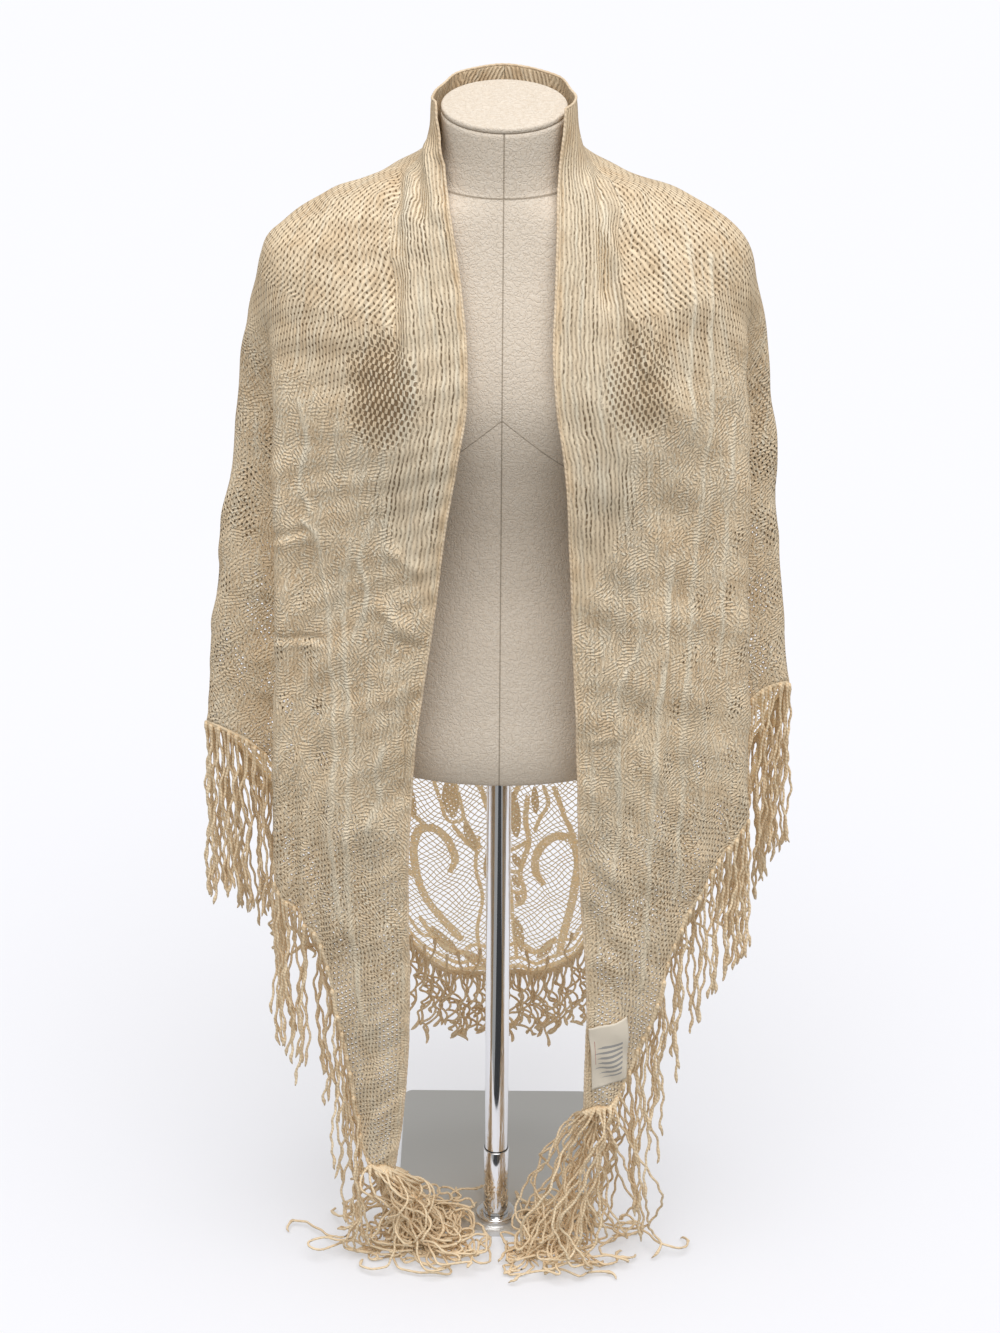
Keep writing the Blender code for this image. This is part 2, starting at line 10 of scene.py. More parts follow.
import bpy
import numpy as np
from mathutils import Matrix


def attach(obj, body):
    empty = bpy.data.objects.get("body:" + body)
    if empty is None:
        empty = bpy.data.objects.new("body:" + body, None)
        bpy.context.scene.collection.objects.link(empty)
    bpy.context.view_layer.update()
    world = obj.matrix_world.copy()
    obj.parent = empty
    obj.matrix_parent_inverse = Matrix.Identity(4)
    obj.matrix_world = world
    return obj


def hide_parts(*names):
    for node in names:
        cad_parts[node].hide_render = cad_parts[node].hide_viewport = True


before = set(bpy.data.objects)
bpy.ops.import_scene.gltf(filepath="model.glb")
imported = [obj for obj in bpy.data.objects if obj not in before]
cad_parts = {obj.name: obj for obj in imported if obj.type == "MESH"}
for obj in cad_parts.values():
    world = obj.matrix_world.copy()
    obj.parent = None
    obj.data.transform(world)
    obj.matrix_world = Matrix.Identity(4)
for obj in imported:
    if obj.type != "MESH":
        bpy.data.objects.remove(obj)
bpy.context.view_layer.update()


# The dress form's torso
# A light shell padded and covered in unbleached linen, cut in panels: a seam down the middle of the
# front and of the back, one round the root of the neck, and slanting seams under the bust.

LEVELS = np.array([  # height, half width, reach in front, reach behind
    (0.595, 0.156, 0.102, 0.120),
    (0.612, 0.163, 0.107, 0.127),
    (0.680, 0.162, 0.105, 0.126),
    (0.740, 0.147, 0.097, 0.110),
    (0.800, 0.122, 0.086, 0.087),
    (0.845, 0.117, 0.086, 0.080),
    (0.900, 0.128, 0.097, 0.088),
    (0.950, 0.143, 0.109, 0.097),
    (0.990, 0.157, 0.112, 0.102),
    (1.030, 0.184, 0.106, 0.103),
    (1.070, 0.205, 0.094, 0.099),
    (1.100, 0.204, 0.083, 0.091),
    (1.125, 0.188, 0.075, 0.082),
    (1.142, 0.163, 0.070, 0.075),
    (1.156, 0.128, 0.066, 0.069),
    (1.167, 0.094, 0.063, 0.064),
    (1.178, 0.069, 0.060, 0.061),
    (1.195, 0.060, 0.058, 0.058),
    (1.240, 0.058, 0.058, 0.058),
])
BUST_AT = (0.080, 0.985)
BUST_SIZE = (0.046, 0.055)
BUST_RISE = 0.020
NECK_TILT = 0.16
NECK_SEAM = 1.178
YOKE_PEAK = 0.979  # where the slanting seams meet the middle seam
YOKE_SLOPE = 0.84
SEAM_HALF = 0.0013
SEAM_DEPTH = 0.0008
YOKE_REACH = 0.14  # how far out the slanting seams run
NECK_FROM = 1.15  # above this height the levels tilt, in full after NECK_OVER
NECK_OVER = 0.05
HIP_SHARE = 0.985  # the lower edge is drawn in to this share of its width
HIP_ROUND = 0.002
TORSO_LEVELS = 150
TORSO_COLUMNS = 152
COLUMN_CROWD = 0.35  # how much the columns crowd towards the middle seams
THREADS = 1500  # to the metre, as the slubs along them and the crinkles are
SLUBS = 260
CRINKLES = 210
LINEN_RELIEF = 0.0007
LINEN = (0.885, 0.802, 0.698, 1.0)
LINEN_SLUB = (0.770, 0.665, 0.545, 1.0)
SEAM_SHADE = (0.30, 0.24, 0.175, 1.0)


def column(table, index, at):
    """A smooth curve through one column of a table, read at values of its first column: cubic
    pieces whose slopes are those of the rows on either side."""
    xs, ys = table[:, 0], table[:, index]
    slopes = np.gradient(ys, xs)
    i = np.clip(np.searchsorted(xs, at, side="right") - 1, 0, len(xs) - 2)
    span = xs[i + 1] - xs[i]
    t = (at - xs[i]) / span
    return (
        ys[i] * (1 + 2 * t) * (1 - t) ** 2
        + slopes[i] * span * t * (1 - t) ** 2
        + ys[i + 1] * t**2 * (3 - 2 * t)
        + slopes[i + 1] * span * t**2 * (t - 1)
    )


def ease(t):
    """From 0 to 1 with level ends: 3 t^2 - 2 t^3."""
    t = np.clip(t, 0, 1)
    return t * t * (3 - 2 * t)


def form_point(angle, z):
    """The form's surface: an oval at each height, with two soft domes in front, and levels that
    tilt down to the front over the neck."""
    ahead = np.cos(angle)
    x = column(LEVELS, 1, z) * np.sin(angle)
    y = -ahead * np.where(ahead > 0, column(LEVELS, 2, z), column(LEVELS, 3, z))
    high = (z - BUST_AT[1]) / BUST_SIZE[1]
    for side in (-1, 1):
        across = (x - side * BUST_AT[0]) / BUST_SIZE[0]
        y = y - np.where(ahead > 0, BUST_RISE * np.exp(-(across**2) - high**2), 0)
    return np.stack([x, y, z + NECK_TILT * ease((z - NECK_FROM) / NECK_OVER) * y], -1)


def grid_faces(rows, columns, closed=False):
    """The four-cornered faces of a grid of points; closed joins its last column to the first."""
    row, col = np.indices((rows - 1, columns if closed else columns - 1))
    beside = (col + 1) % columns
    ring = [row * columns + col, row * columns + beside]
    ring += [(row + 1) * columns + beside, (row + 1) * columns + col]
    return np.stack(ring, -1).reshape(-1, 4)


def add_piece(name, points, faces, finish, flat=None, marks=None):
    """A piece from its points and faces. flat is the place of each point on the cloth as it was
    cut, and marks are named numbers that the finish reads at each point."""
    mesh = bpy.data.meshes.new(name)
    mesh.from_pydata(np.asarray(points).reshape(-1, 3).tolist(), [], faces)
    mesh.shade_smooth()
    if flat is not None:
        corner = np.empty(len(mesh.loops), np.int32)
        mesh.loops.foreach_get("vertex_index", corner)
        layer = mesh.uv_layers.new(name="flat")
        layer.data.foreach_set("uv", flat.reshape(-1, 2)[corner].astype(np.float32).ravel())
    for mark, values in (marks or {}).items():
        layer = mesh.attributes.new(mark, "FLOAT", "POINT")
        layer.data.foreach_set("value", np.asarray(values, np.float32).ravel())
    mesh.materials.append(finish.material)
    piece = bpy.data.objects.new(name, mesh)
    bpy.context.scene.collection.objects.link(piece)
    return piece


def closed_rings(rings):
    """Points and faces of a solid from rings of points, lowest first: walls and two flat ends."""
    rows, columns = rings.shape[:2]
    faces = grid_faces(rows, columns, closed=True).tolist()
    faces.append(list(range(columns))[::-1])
    faces.append(list(range((rows - 1) * columns, rows * columns)))
    return rings.reshape(-1, 3), faces


def fasten(piece, slot, *nodes):
    """Sets a piece on the part's one body and hides the part's nodes that it stands for; its slot is not
    used.
    """
    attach(piece, "root")
    if nodes:
        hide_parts(*nodes)


class Wire:
    """A socket of a finish. Arithmetic on it adds the Math nodes that work it out."""

    def __init__(self, finish, socket):
        self.finish, self.socket = finish, socket

    def math(self, operation, *values):
        return self.finish.node("ShaderNodeMath", {"operation": operation}, dict(enumerate(values)))

    def __add__(self, other):
        return self.math("ADD", self, other)

    def __sub__(self, other):
        return self.math("SUBTRACT", self, other)

    def __rsub__(self, other):
        return self.math("SUBTRACT", other, self)

    def __mul__(self, other):
        return self.math("MULTIPLY", self, other)

    def __gt__(self, other):
        return self.math("GREATER_THAN", self, other)

    def __abs__(self):
        return self.math("ABSOLUTE", self)

    __radd__, __rmul__ = __add__, __mul__

    def cosine(self):
        return self.math("COSINE", self)

    def between(self, low, high):
        """0 below low, 1 above high, and a straight ramp between."""
        return self.finish.node(
            "ShaderNodeMapRange", {"clamp": True}, {"Value": self, "From Min": low, "From Max": high}
        )


class Finish:
    """A material with one Principled shader; constants are set on the shader's own sockets."""

    def __init__(self, name, constants):
        self.material = bpy.data.materials.new(name)
        self.material.use_nodes = True
        self.tree = self.material.node_tree
        self.shader = self.tree.nodes["Principled BSDF"]
        for socket, value in constants.items():
            self.shader.inputs[socket].default_value = value

    def node(self, kind, settings=None, sockets=None, output=0):
        """Adds a node: its settings first, then the values or links of its sockets."""
        node = self.tree.nodes.new(kind)
        for setting, value in (settings or {}).items():
            setattr(node, setting, value)
        for socket, value in (sockets or {}).items():
            if isinstance(value, Wire):
                self.tree.links.new(value.socket, node.inputs[socket])
            else:
                node.inputs[socket].default_value = value
        return Wire(self, node.outputs[output])

    def place(self):
        """Where a point is in the part, in metres."""
        return self.node("ShaderNodeTexCoord", output="Object")

    def split(self, vector):
        """The three numbers of a vector."""
        return [self.node("ShaderNodeSeparateXYZ", sockets={0: vector}, output=k) for k in range(3)]

    def stretched(self, vector, sizes):
        """A vector with each of its numbers multiplied."""
        settings = {"operation": "MULTIPLY"}
        return self.node("ShaderNodeVectorMath", settings, {0: vector, 1: sizes})

    def join(self, x, y, z):
        """A vector of three numbers."""
        return self.node("ShaderNodeCombineXYZ", sockets={0: x, 1: y, 2: z})

    def noise(self, vector, scale, detail=2.0):
        """Soft random patches from 0 to 1, scale of them to the metre."""
        return self.node(
            "ShaderNodeTexNoise", sockets={"Vector": vector, "Scale": scale, "Detail": detail}
        )

    def mix(self, share, first, second):
        """One colour turning into another as share goes from 0 to 1."""
        return self.node(
            "ShaderNodeMix", {"data_type": "RGBA"}, {0: share, 6: first, 7: second}, output=2
        )

    def feed(self, **wires):
        """Links wires to the shader's sockets of those names."""
        for name, wire in wires.items():
            socket = self.shader.inputs[name.replace("_", " ").title()]
            self.tree.links.new(wire.socket, socket)

    def relief(self, height, depth):
        """Raises the surface by height times depth, as a bump."""
        self.feed(normal=self.node("ShaderNodeBump", sockets={"Height": height, "Distance": depth}))


def linen_finish(name, seams):
    """Plain-woven linen, crinkled where it was glued down: thick and thin threads both ways, small
    creases, and on the torso its seams as fine dark lines."""
    cover = Finish(name, {"Roughness": 0.92, "Sheen Weight": 0.15, "Specular IOR Level": 0.2})
    place = cover.place()
    weft = cover.noise(cover.stretched(place, (SLUBS, SLUBS, THREADS)), 1.0)
    warp = cover.noise(cover.stretched(place, (THREADS, THREADS, SLUBS)), 1.0)
    cloudy = cover.noise(place, 9)
    crinkle = abs(cover.noise(place, CRINKLES, 2.0) - 0.5).between(0.0, 0.09)
    threads = weft * 0.5 + warp * 0.5
    colour = cover.mix(threads.between(0.40, 0.60), LINEN_SLUB, LINEN)
    colour = cover.mix(cloudy.between(0.35, 0.75) * 0.25, colour, LINEN_SLUB)
    if seams:
        x, y, z = cover.split(place)
        middle = 1 - abs(x).between(0.0003, 0.0009)
        slant = abs(z + abs(x) * YOKE_SLOPE - YOKE_PEAK)
        in_front = 0 - y > 0
        yoke = (1 - slant.between(0.0003, 0.0010)) * in_front * (YOKE_REACH - abs(x) > 0)
        neck = 1 - abs(z - y * NECK_TILT * 0.6 - NECK_SEAM).between(0.0004, 0.0011)
        line = (middle + yoke + neck).between(0, 1)
        colour = cover.mix(line * 0.75, colour, SEAM_SHADE)
    cover.feed(base_color=colour)
    cover.relief(threads * 0.5 + crinkle * 0.5, LINEN_RELIEF)
    return cover


levels = np.linspace(LEVELS[0, 0], LEVELS[-1, 0], TORSO_LEVELS)
lap = np.linspace(0, 2 * math.pi, TORSO_COLUMNS, endpoint=False)
lap = lap - COLUMN_CROWD * np.sin(2 * lap)
angle, height = np.meshgrid(lap, levels)
torso_points = form_point(angle, height)
aside = np.abs(torso_points[..., 0])
yoke_gap = np.where(torso_points[..., 1] < 0, np.abs(height + YOKE_SLOPE * aside - YOKE_PEAK), 1)
seam_gap = np.minimum(np.minimum(aside, yoke_gap), np.abs(height - NECK_SEAM))
inward = np.stack([-torso_points[..., 0], -torso_points[..., 1], 0 * height], -1)
inward /= np.linalg.norm(inward, axis=-1, keepdims=True)
torso_points += inward * (SEAM_DEPTH * np.exp(-((seam_gap / SEAM_HALF) ** 2)))[..., None]
torso_points = np.concatenate([torso_points[:1] * (HIP_SHARE, HIP_SHARE, 1.0), torso_points], 0)
torso_points[1, :, 2] += HIP_ROUND
torso = add_piece("form_cover", *closed_rings(torso_points), linen_finish("linen", True))
fasten(torso, "form_cover", "form_torso")


# The neck cap
# A thin round board covered in the same linen, set on the neck with a soft turned edge.

CAP_GAP = 0.0004
CAP_RISE = 0.0058
CAP_EDGE = 0.0022
CAP_POINTS = 96
CAP_FOOT = ((0.97, CAP_GAP), (1.0, CAP_GAP + 0.001))  # share of the neck's width, height over it
CAP_TOP = ((0.8, CAP_RISE + 0.0003), (0.4, CAP_RISE + 0.0006), (0.05, CAP_RISE + 0.0006))
rim_angle = np.linspace(0, 2 * math.pi, CAP_POINTS, endpoint=False)
neck_ring = form_point(rim_angle, np.full(CAP_POINTS, LEVELS[-1, 0]))
neck_middle = neck_ring.mean(0)
bend = np.linspace(0, math.pi / 2, 6)
turned_edge = np.stack(
    [1 - CAP_EDGE / LEVELS[-1, 1] * (1 - np.cos(bend)), CAP_RISE - CAP_EDGE + CAP_EDGE * np.sin(bend)], -1
)
cap_shares, cap_heights = np.concatenate([CAP_FOOT, turned_edge, CAP_TOP]).T
cap_rings = neck_middle + (neck_ring - neck_middle) * cap_shares[:, None, None]
cap_rings[..., 2] += cap_heights[:, None]
neck_cap = add_piece("neck_cap", *closed_rings(cap_rings), linen_finish("linen_cap", False))
fasten(neck_cap, "form_cover", "form_neck_cap")


# The pole, its lower sleeve and its foot
# Chromed steel tube, 25 mm across, in a slightly wider sleeve on a flat turned ring; a black ring
# of painted shade marks the gap where the pole enters the sleeve.

POLE = ((0.0127, 0.0985), (0.0127, 0.5946))
SLEEVE = (
    (0.0139, 0.0148),
    (0.0139, 0.0300),
    (0.0139, 0.0968),
    (0.0136, 0.0976),
    (0.0130, 0.0979),
    (0.0127, 0.0980),
)
FOOT = ((0.0220, 0.0084), (0.0220, 0.0122), (0.0217, 0.0134), (0.0209, 0.0141), (0.0180, 0.0143))
RING_LINE = ((0.0129, 0.0978), (0.0131, 0.0981), (0.0131, 0.0992), (0.0129, 0.0995))


def turned(profile, sides=64):
    """A turned solid: the profile's radius at each height, carried round the pole's middle line."""
    radius, z = np.array(profile).T
    round_angle = np.arange(sides) * 2 * math.pi / sides
    x, y = radius[:, None] * np.sin(round_angle), -radius[:, None] * np.cos(round_angle)
    return closed_rings(np.stack(np.broadcast_arrays(x, y, z[:, None]), -1))


def crisp(piece, degrees):
    """Keeps bends sharper than an angle as crisp edges."""
    edges = piece.modifiers.new("crisp edges", "EDGE_SPLIT")
    edges.split_angle = math.radians(degrees)


chrome = Finish("chrome", {"Base Color": (0.80, 0.80, 0.81, 1), "Metallic": 1.0})
handled = chrome.noise(chrome.stretched(chrome.place(), (1, 1, 0.4)), 60)
chrome.feed(roughness=handled.between(0.3, 0.8) * 0.07 + 0.05)
for name, profile, node in (
    ("pole", POLE, "stand_pole"),
    ("pole_sleeve", SLEEVE, "stand_sleeve"),
    ("pole_foot", FOOT, "stand_foot"),
):
    tube = add_piece(name, *turned(profile), chrome)
    crisp(tube, 50)
    fasten(tube, "chrome_tube", node)

# A black ring over the joint: painted shade of the gap where the pole enters the sleeve.
joint_shade = Finish("dark_ring", {"Base Color": (0.03, 0.03, 0.03, 1)})
joint_shade.feed(roughness=joint_shade.noise(joint_shade.place(), 900) * 0.2 + 0.45)
dark_ring = add_piece("pole_ring_line", *turned(RING_LINE), joint_shade)
fasten(dark_ring, "chrome_tube")


# The base plate
# Flat sheet steel, 218 mm wide, its corners rounded and its edges eased, brushed to a satin grey.

PLATE_HALF = 0.109
PLATE_Y = (-0.030, 0.243)
PLATE_CORNER = 0.010
PLATE_TOP = 0.0080
PLATE_PROFILE = (  # how far it is pulled in, height
    (0.0004, 0.0),
    (0.0, 0.0006),
    (0.0, 0.0070),
    (0.0003, 0.0077),
    (0.0010, PLATE_TOP),
)


def plate_ring(inset, z):
    """The plate's outline with rounded corners, pulled in by inset."""
    quarter = np.linspace(0, math.pi / 2, 9)
    x, y = [], []
    centres = ((1, 0), (1, 1), (-1, 1), (-1, 0))
    for k, (side, back) in enumerate(centres):
        turn_by = quarter + k * math.pi / 2
        middle_y = PLATE_Y[back] + PLATE_CORNER * (1 - 2 * back)
        x.append(side * (PLATE_HALF - PLATE_CORNER) + (PLATE_CORNER - inset) * np.sin(turn_by))
        y.append(middle_y - (PLATE_CORNER - inset) * np.cos(turn_by))
    x, y = np.concatenate(x), np.concatenate(y)
    return np.stack([x, y, np.full(len(x), z)], -1)


plate_rings = np.stack([plate_ring(inset, z) for inset, z in PLATE_PROFILE])
steel = Finish("satin_steel", {"Base Color": (0.71, 0.71, 0.70, 1), "Metallic": 0.75})
brushed = steel.noise(steel.stretched(steel.place(), (40, 1600, 40)), 1.0, 3.0)
steel.feed(roughness=brushed * 0.18 + 0.30)
steel.relief(brushed, 0.00006)
plate = add_piece("base_plate", *closed_rings(plate_rings), steel)
crisp(plate, 40)
fasten(plate, "steel_plate", "stand_plate")


# The drape of the shawl
# One knitted triangle. Its straight edge stands round the neck and falls open in front; its point
# hangs behind. turn runs from -1 at the left front edge through 0 behind to +1 at the right front
# edge, and drop is the distance down the cloth from the collar edge.

RINGS = np.array([
    # drop, side x, side z, front y, front z, back y, back z, left and right edge, left and right pull
    (0.000, 0.0655, 1.251, 0.060, 1.243, 0.073, 1.265, 0.0625, 0.0550, 0.000, 0.000),
    (0.035, 0.0690, 1.219, 0.063, 1.212, 0.072, 1.234, 0.0585, 0.0525, 0.000, 0.000),
    (0.070, 0.0820, 1.189, 0.068, 1.180, 0.079, 1.208, 0.0535, 0.0495, 0.000, 0.000),
    (0.110, 0.1160, 1.174, 0.082, 1.143, 0.092, 1.170, 0.0465, 0.0490, 0.000, 0.000),
    (0.165, 0.1660, 1.157, 0.102, 1.093, 0.104, 1.117, 0.0380, 0.0480, 0.000, 0.000),
    (0.225, 0.2185, 1.119, 0.123, 1.037, 0.114, 1.058, 0.0325, 0.0465, 0.000, 0.000),
    (0.270, 0.2325, 1.079, 0.134, 0.993, 0.119, 1.013, 0.0330, 0.0500, 0.000, -0.010),
    (0.320, 0.2460, 1.030, 0.141, 0.943, 0.123, 0.963, 0.0410, 0.0575, 0.004, -0.030),
    (0.390, 0.2560, 0.960, 0.143, 0.873, 0.128, 0.893, 0.0525, 0.0630, 0.018, -0.034),
    (0.460, 0.2600, 0.890, 0.142, 0.803, 0.134, 0.823, 0.0605, 0.0665, 0.036, -0.018),
    (0.610, 0.2750, 0.740, 0.140, 0.653, 0.147, 0.674, 0.0805, 0.0745, 0.076, 0.010),
    (0.760, 0.2880, 0.590, 0.134, 0.503, 0.156, 0.524, 0.0895, 0.0805, 0.090, 0.024),
    (0.910, 0.2760, 0.440, 0.124, 0.353, 0.161, 0.374, 0.0895, 0.0910, 0.080, 0.024),
    (1.060, 0.2560, 0.290, 0.108, 0.204, 0.164, 0.224, 0.0970, 0.0910, 0.070, 0.022),
    (1.210, 0.2500, 0.140, 0.084, 0.060, 0.165, 0.074, 0.1150, 0.1000, 0.060, 0.022),
])
PULL_TURN = 0.68  # round this turn the front folded edges are pulled forwards
PULL_REACH = 0.14
FOLDS = (  # turn, start, end, rise (in where negative), half width, sway
    (-0.622, 0.250, 1.300, -0.054, 0.062, 0.000),
    (0.622, 0.250, 1.300, -0.050, 0.062, 0.000),
    (-0.735, 0.300, 1.300, 0.011, 0.035, 0.000),
    (0.740, 0.300, 1.300, 0.010, 0.035, 0.000),
    (-0.510, 0.400, 1.000, 0.012, 0.050, 0.010),
    (0.515, 0.280, 1.000, 0.010, 0.050, -0.010),
    (-0.900, 0.180, 0.420, 0.011, 0.080, 0.000),
    (0.890, 0.180, 0.420, 0.011, 0.080, 0.000),
    (-0.360, -0.200, 0.220, 0.005, 0.110, 0.000),
    (0.360, -0.200, 0.220, 0.005, 0.110, 0.000),
    (-0.930, 0.050, 0.400, 0.005, 0.030, 0.020),
    (-0.840, 0.040, 0.330, 0.006, 0.030, 0.030),
    (-0.740, 0.040, 0.260, 0.005, 0.030, 0.030),
    (-0.500, 0.040, 0.240, 0.004, 0.035, 0.000),
    (0.950, 0.040, 0.420, 0.005, 0.026, -0.010),
    (0.880, 0.040, 0.420, 0.006, 0.026, -0.040),
    (0.800, 0.040, 0.330, 0.006, 0.028, -0.050),
    (0.700, 0.040, 0.260, 0.005, 0.030, -0.030),
    (0.480, 0.040, 0.240, 0.004, 0.035, 0.000),
    (0.560, 0.060, 0.420, 0.007, 0.120, 0.000),
    (-0.960, 0.420, 1.300, 0.006, 0.022, 0.000),
    (-0.890, 0.540, 1.120, 0.008, 0.024, 0.010),
    (-0.815, 0.600, 1.000, 0.007, 0.024, -0.012),
    (0.960, 0.480, 1.200, 0.005, 0.020, 0.000),
    (0.900, 0.420, 1.120, 0.007, 0.022, -0.010),
    (0.825, 0.460, 0.960, 0.009, 0.026, 0.008),
    (-0.410, 0.360, 1.300, 0.012, 0.050, 0.020),
    (-0.300, 0.420, 1.300, -0.013, 0.042, 0.010),
    (-0.200, 0.340, 1.300, 0.013, 0.050, 0.010),
    (-0.095, 0.460, 1.300, -0.010, 0.040, 0.005),
    (0.010, 0.380, 1.300, 0.009, 0.045, 0.000),
    (0.110, 0.440, 1.300, -0.011, 0.040, 0.000),
    (0.215, 0.350, 1.300, 0.013, 0.050, -0.010),
    (0.315, 0.430, 1.300, -0.012, 0.042, -0.010),
    (0.415, 0.370, 1.300, 0.011, 0.050, -0.020),
)
FOLD_FADE = 0.16
HEMS = np.array([  # turn, drop of the hem on the left and on the right
    (0.00, 1.075, 1.075),
    (0.10, 1.055, 1.055),
    (0.20, 0.985, 0.980),
    (0.30, 0.890, 0.880),
    (0.40, 0.800, 0.775),
    (0.50, 0.748, 0.705),
    (0.56, 0.742, 0.692),
    (0.61, 0.768, 0.722),
    (0.67, 0.828, 0.772),
    (0.74, 0.852, 0.788),
    (0.80, 0.867, 0.818),
    (0.85, 0.886, 0.858),
    (0.88, 0.945, 0.906),
    (0.91, 1.062, 0.990),
    (0.94, 1.136, 1.046),
    (1.00, 1.158, 1.062),
])
CREASES = (  # front (-1) or back (1), from x, z to x, z, rise, half width
    (-1, -0.098, 1.190, -0.094, 1.120, -0.0065, 0.0055),
    (-1, -0.094, 1.120, -0.097, 1.020, -0.0055, 0.006),
    (-1, -0.084, 1.190, -0.082, 1.010, 0.0040, 0.007),
    (-1, 0.075, 1.190, 0.105, 1.110, 0.0040, 0.005),
    (-1, 0.105, 1.110, 0.132, 1.020, 0.0050, 0.006),
    (-1, 0.084, 1.190, 0.093, 1.080, -0.0060, 0.0045),
    (-1, -0.0805, 1.212, -0.0745, 1.150, -0.0055, 0.0045),
    (-1, -0.0700, 1.215, -0.0600, 1.150, 0.0050, 0.0050),
    (-1, -0.0600, 1.205, -0.0525, 1.165, -0.0040, 0.0040),
    (-1, 0.078, 1.160, 0.092, 1.050, 0.0030, 0.005),
    (-1, -0.225, 0.846, -0.178, 0.868, -0.0030, 0.0038),
    (-1, -0.222, 0.839, -0.172, 0.861, 0.0016, 0.0036),
    (-1, -0.218, 0.750, -0.168, 0.757, -0.0032, 0.0036),
    (-1, -0.218, 0.743, -0.166, 0.749, 0.0016, 0.0036),
    (-1, -0.262, 0.830, -0.228, 0.862, 0.0040, 0.008),
    (-1, -0.268, 0.760, -0.232, 0.800, 0.0045, 0.008),
    (-1, -0.272, 0.715, -0.235, 0.742, -0.0040, 0.006),
    (-1, -0.275, 0.690, -0.236, 0.715, 0.0045, 0.007),
    (-1, -0.276, 0.655, -0.232, 0.668, 0.0050, 0.007),
    (-1, -0.276, 0.640, -0.240, 0.645, -0.0035, 0.005),
    (-1, -0.110, 0.860, -0.070, 0.835, 0.0030, 0.006),
    (-1, -0.120, 0.800, -0.075, 0.770, 0.0035, 0.007),
    (-1, -0.100, 0.765, -0.072, 0.760, -0.0025, 0.005),
    (-1, -0.080, 0.700, -0.086, 0.600, 0.0040, 0.004),
    (-1, -0.088, 0.700, -0.094, 0.590, -0.0040, 0.004),
    (-1, -0.150, 0.560, -0.148, 0.420, 0.0035, 0.004),
    (-1, -0.120, 0.520, -0.126, 0.380, -0.0030, 0.005),
    (-1, 0.262, 0.830, 0.240, 0.800, 0.0040, 0.007),
    (-1, 0.268, 0.770, 0.240, 0.740, -0.0040, 0.006),
    (-1, 0.270, 0.740, 0.245, 0.700, 0.0045, 0.007),
    (-1, 0.190, 0.905, 0.184, 0.755, 0.0030, 0.006),
    (-1, 0.184, 0.755, 0.181, 0.630, 0.0035, 0.006),
    (-1, 0.160, 0.850, 0.150, 0.600, 0.0035, 0.005),
    (-1, 0.135, 0.800, 0.160, 0.740, 0.0030, 0.006),
    (-1, 0.108, 0.720, 0.118, 0.560, 0.0030, 0.004),
    (-1, 0.085, 0.660, 0.112, 0.668, 0.0025, 0.004),
    (-1, 0.140, 0.700, 0.125, 0.650, -0.0025, 0.005),
    (1, -0.120, 1.120, -0.060, 1.000, 0.0040, 0.008),
    (1, 0.110, 1.130, 0.070, 0.990, 0.0040, 0.008),
    (1, -0.200, 0.940, -0.150, 0.850, 0.0040, 0.008),
    (1, 0.190, 0.930, 0.140, 0.860, -0.0040, 0.007),
    (1, 0.050, 0.900, 0.030, 0.780, 0.0035, 0.006),
    (1, -0.020, 1.050, -0.045, 0.900, -0.0035, 0.007),
    (1, 0.220, 0.780, 0.180, 0.730, 0.0040, 0.007),
    (1, -0.230, 0.760, -0.185, 0.720, 0.0040, 0.007),
    (1, -0.090, 0.800, -0.060, 0.680, 0.0035, 0.006),
    (1, 0.130, 0.780, 0.090, 0.680, -0.0035, 0.006),
)
CREASE_DEPTH = 0.03  # how far off the middle plane a crease of the front or the back is whole
PUCKERS = 16
PUCKER_RISE = 0.00045
PUCKER_LENGTH = (0.020, 0.075)
ROLL_WIDE = 0.012  # in turn, as far as the edges roll
ROLL_RISE = 0.0022
STEP = 0.0005  # of turn or drop, where a slope is measured


def unit(v):
    """Vectors brought to a length of 1."""
    return v / np.maximum(np.linalg.norm(v, axis=-1, keepdims=True), 1e-9)


def hem_drop(turn):
    """How far down the cloth the hem lies."""
    sides = [column(HEMS, k, np.abs(turn)) for k in (1, 2)]
    return np.where(turn < 0, *sides)


def plain_drape(turn, drop):
    """The drape with no folds: at each drop an oval round the form, open in front, whose height
    falls from the sides to the front and the back. A pull shifts the cloth round it."""
    turn, drop = np.broadcast_arrays(turn, drop)
    side_x, side_z, front_y, front_z, back_y, back_z, left, right, left_pull, right_pull = (
        column(RINGS, k, drop) for k in range(1, 11)
    )
    edge_angle = np.arcsin(np.clip(np.where(turn < 0, left, right) / side_x, 0, 0.98))
    pull = np.where(turn < 0, left_pull, right_pull)
    pull = pull * np.exp(-(((np.abs(turn) - PULL_TURN) / PULL_REACH) ** 2))
    angle = math.pi - (math.pi - edge_angle) * (np.abs(turn) + pull)
    ahead = np.cos(angle)
    x = np.sign(turn) * side_x * np.sin(angle)
    y = -ahead * np.where(ahead > 0, front_y, back_y)
    z = side_z + (np.where(ahead > 0, front_z, back_z) - side_z) * ahead**2
    return np.stack([x, y, z], -1)


def facing(shape, turn, drop):
    """Outward direction of a surface of turn and drop: its slope across times its slope down."""
    across = shape(turn + STEP, drop) - shape(turn - STEP, drop)
    down = shape(turn, drop + STEP) - shape(turn, drop - STEP)
    return unit(np.cross(across, down))


def fold_rise(turn, drop):
    """The soft folds together: each is a rounded ridge or valley that fades at both its ends."""
    rise = np.zeros(np.broadcast(turn, drop).shape)
    for fold_turn, start, end, height, half_width, sway in FOLDS:
        middle = fold_turn + sway * (drop - start) / (end - start)
        fade = ease((drop - start) / FOLD_FADE) * ease((end - drop) / FOLD_FADE)
        rise += height * fade * np.exp(-(((turn - middle) / half_width) ** 2))
    return rise


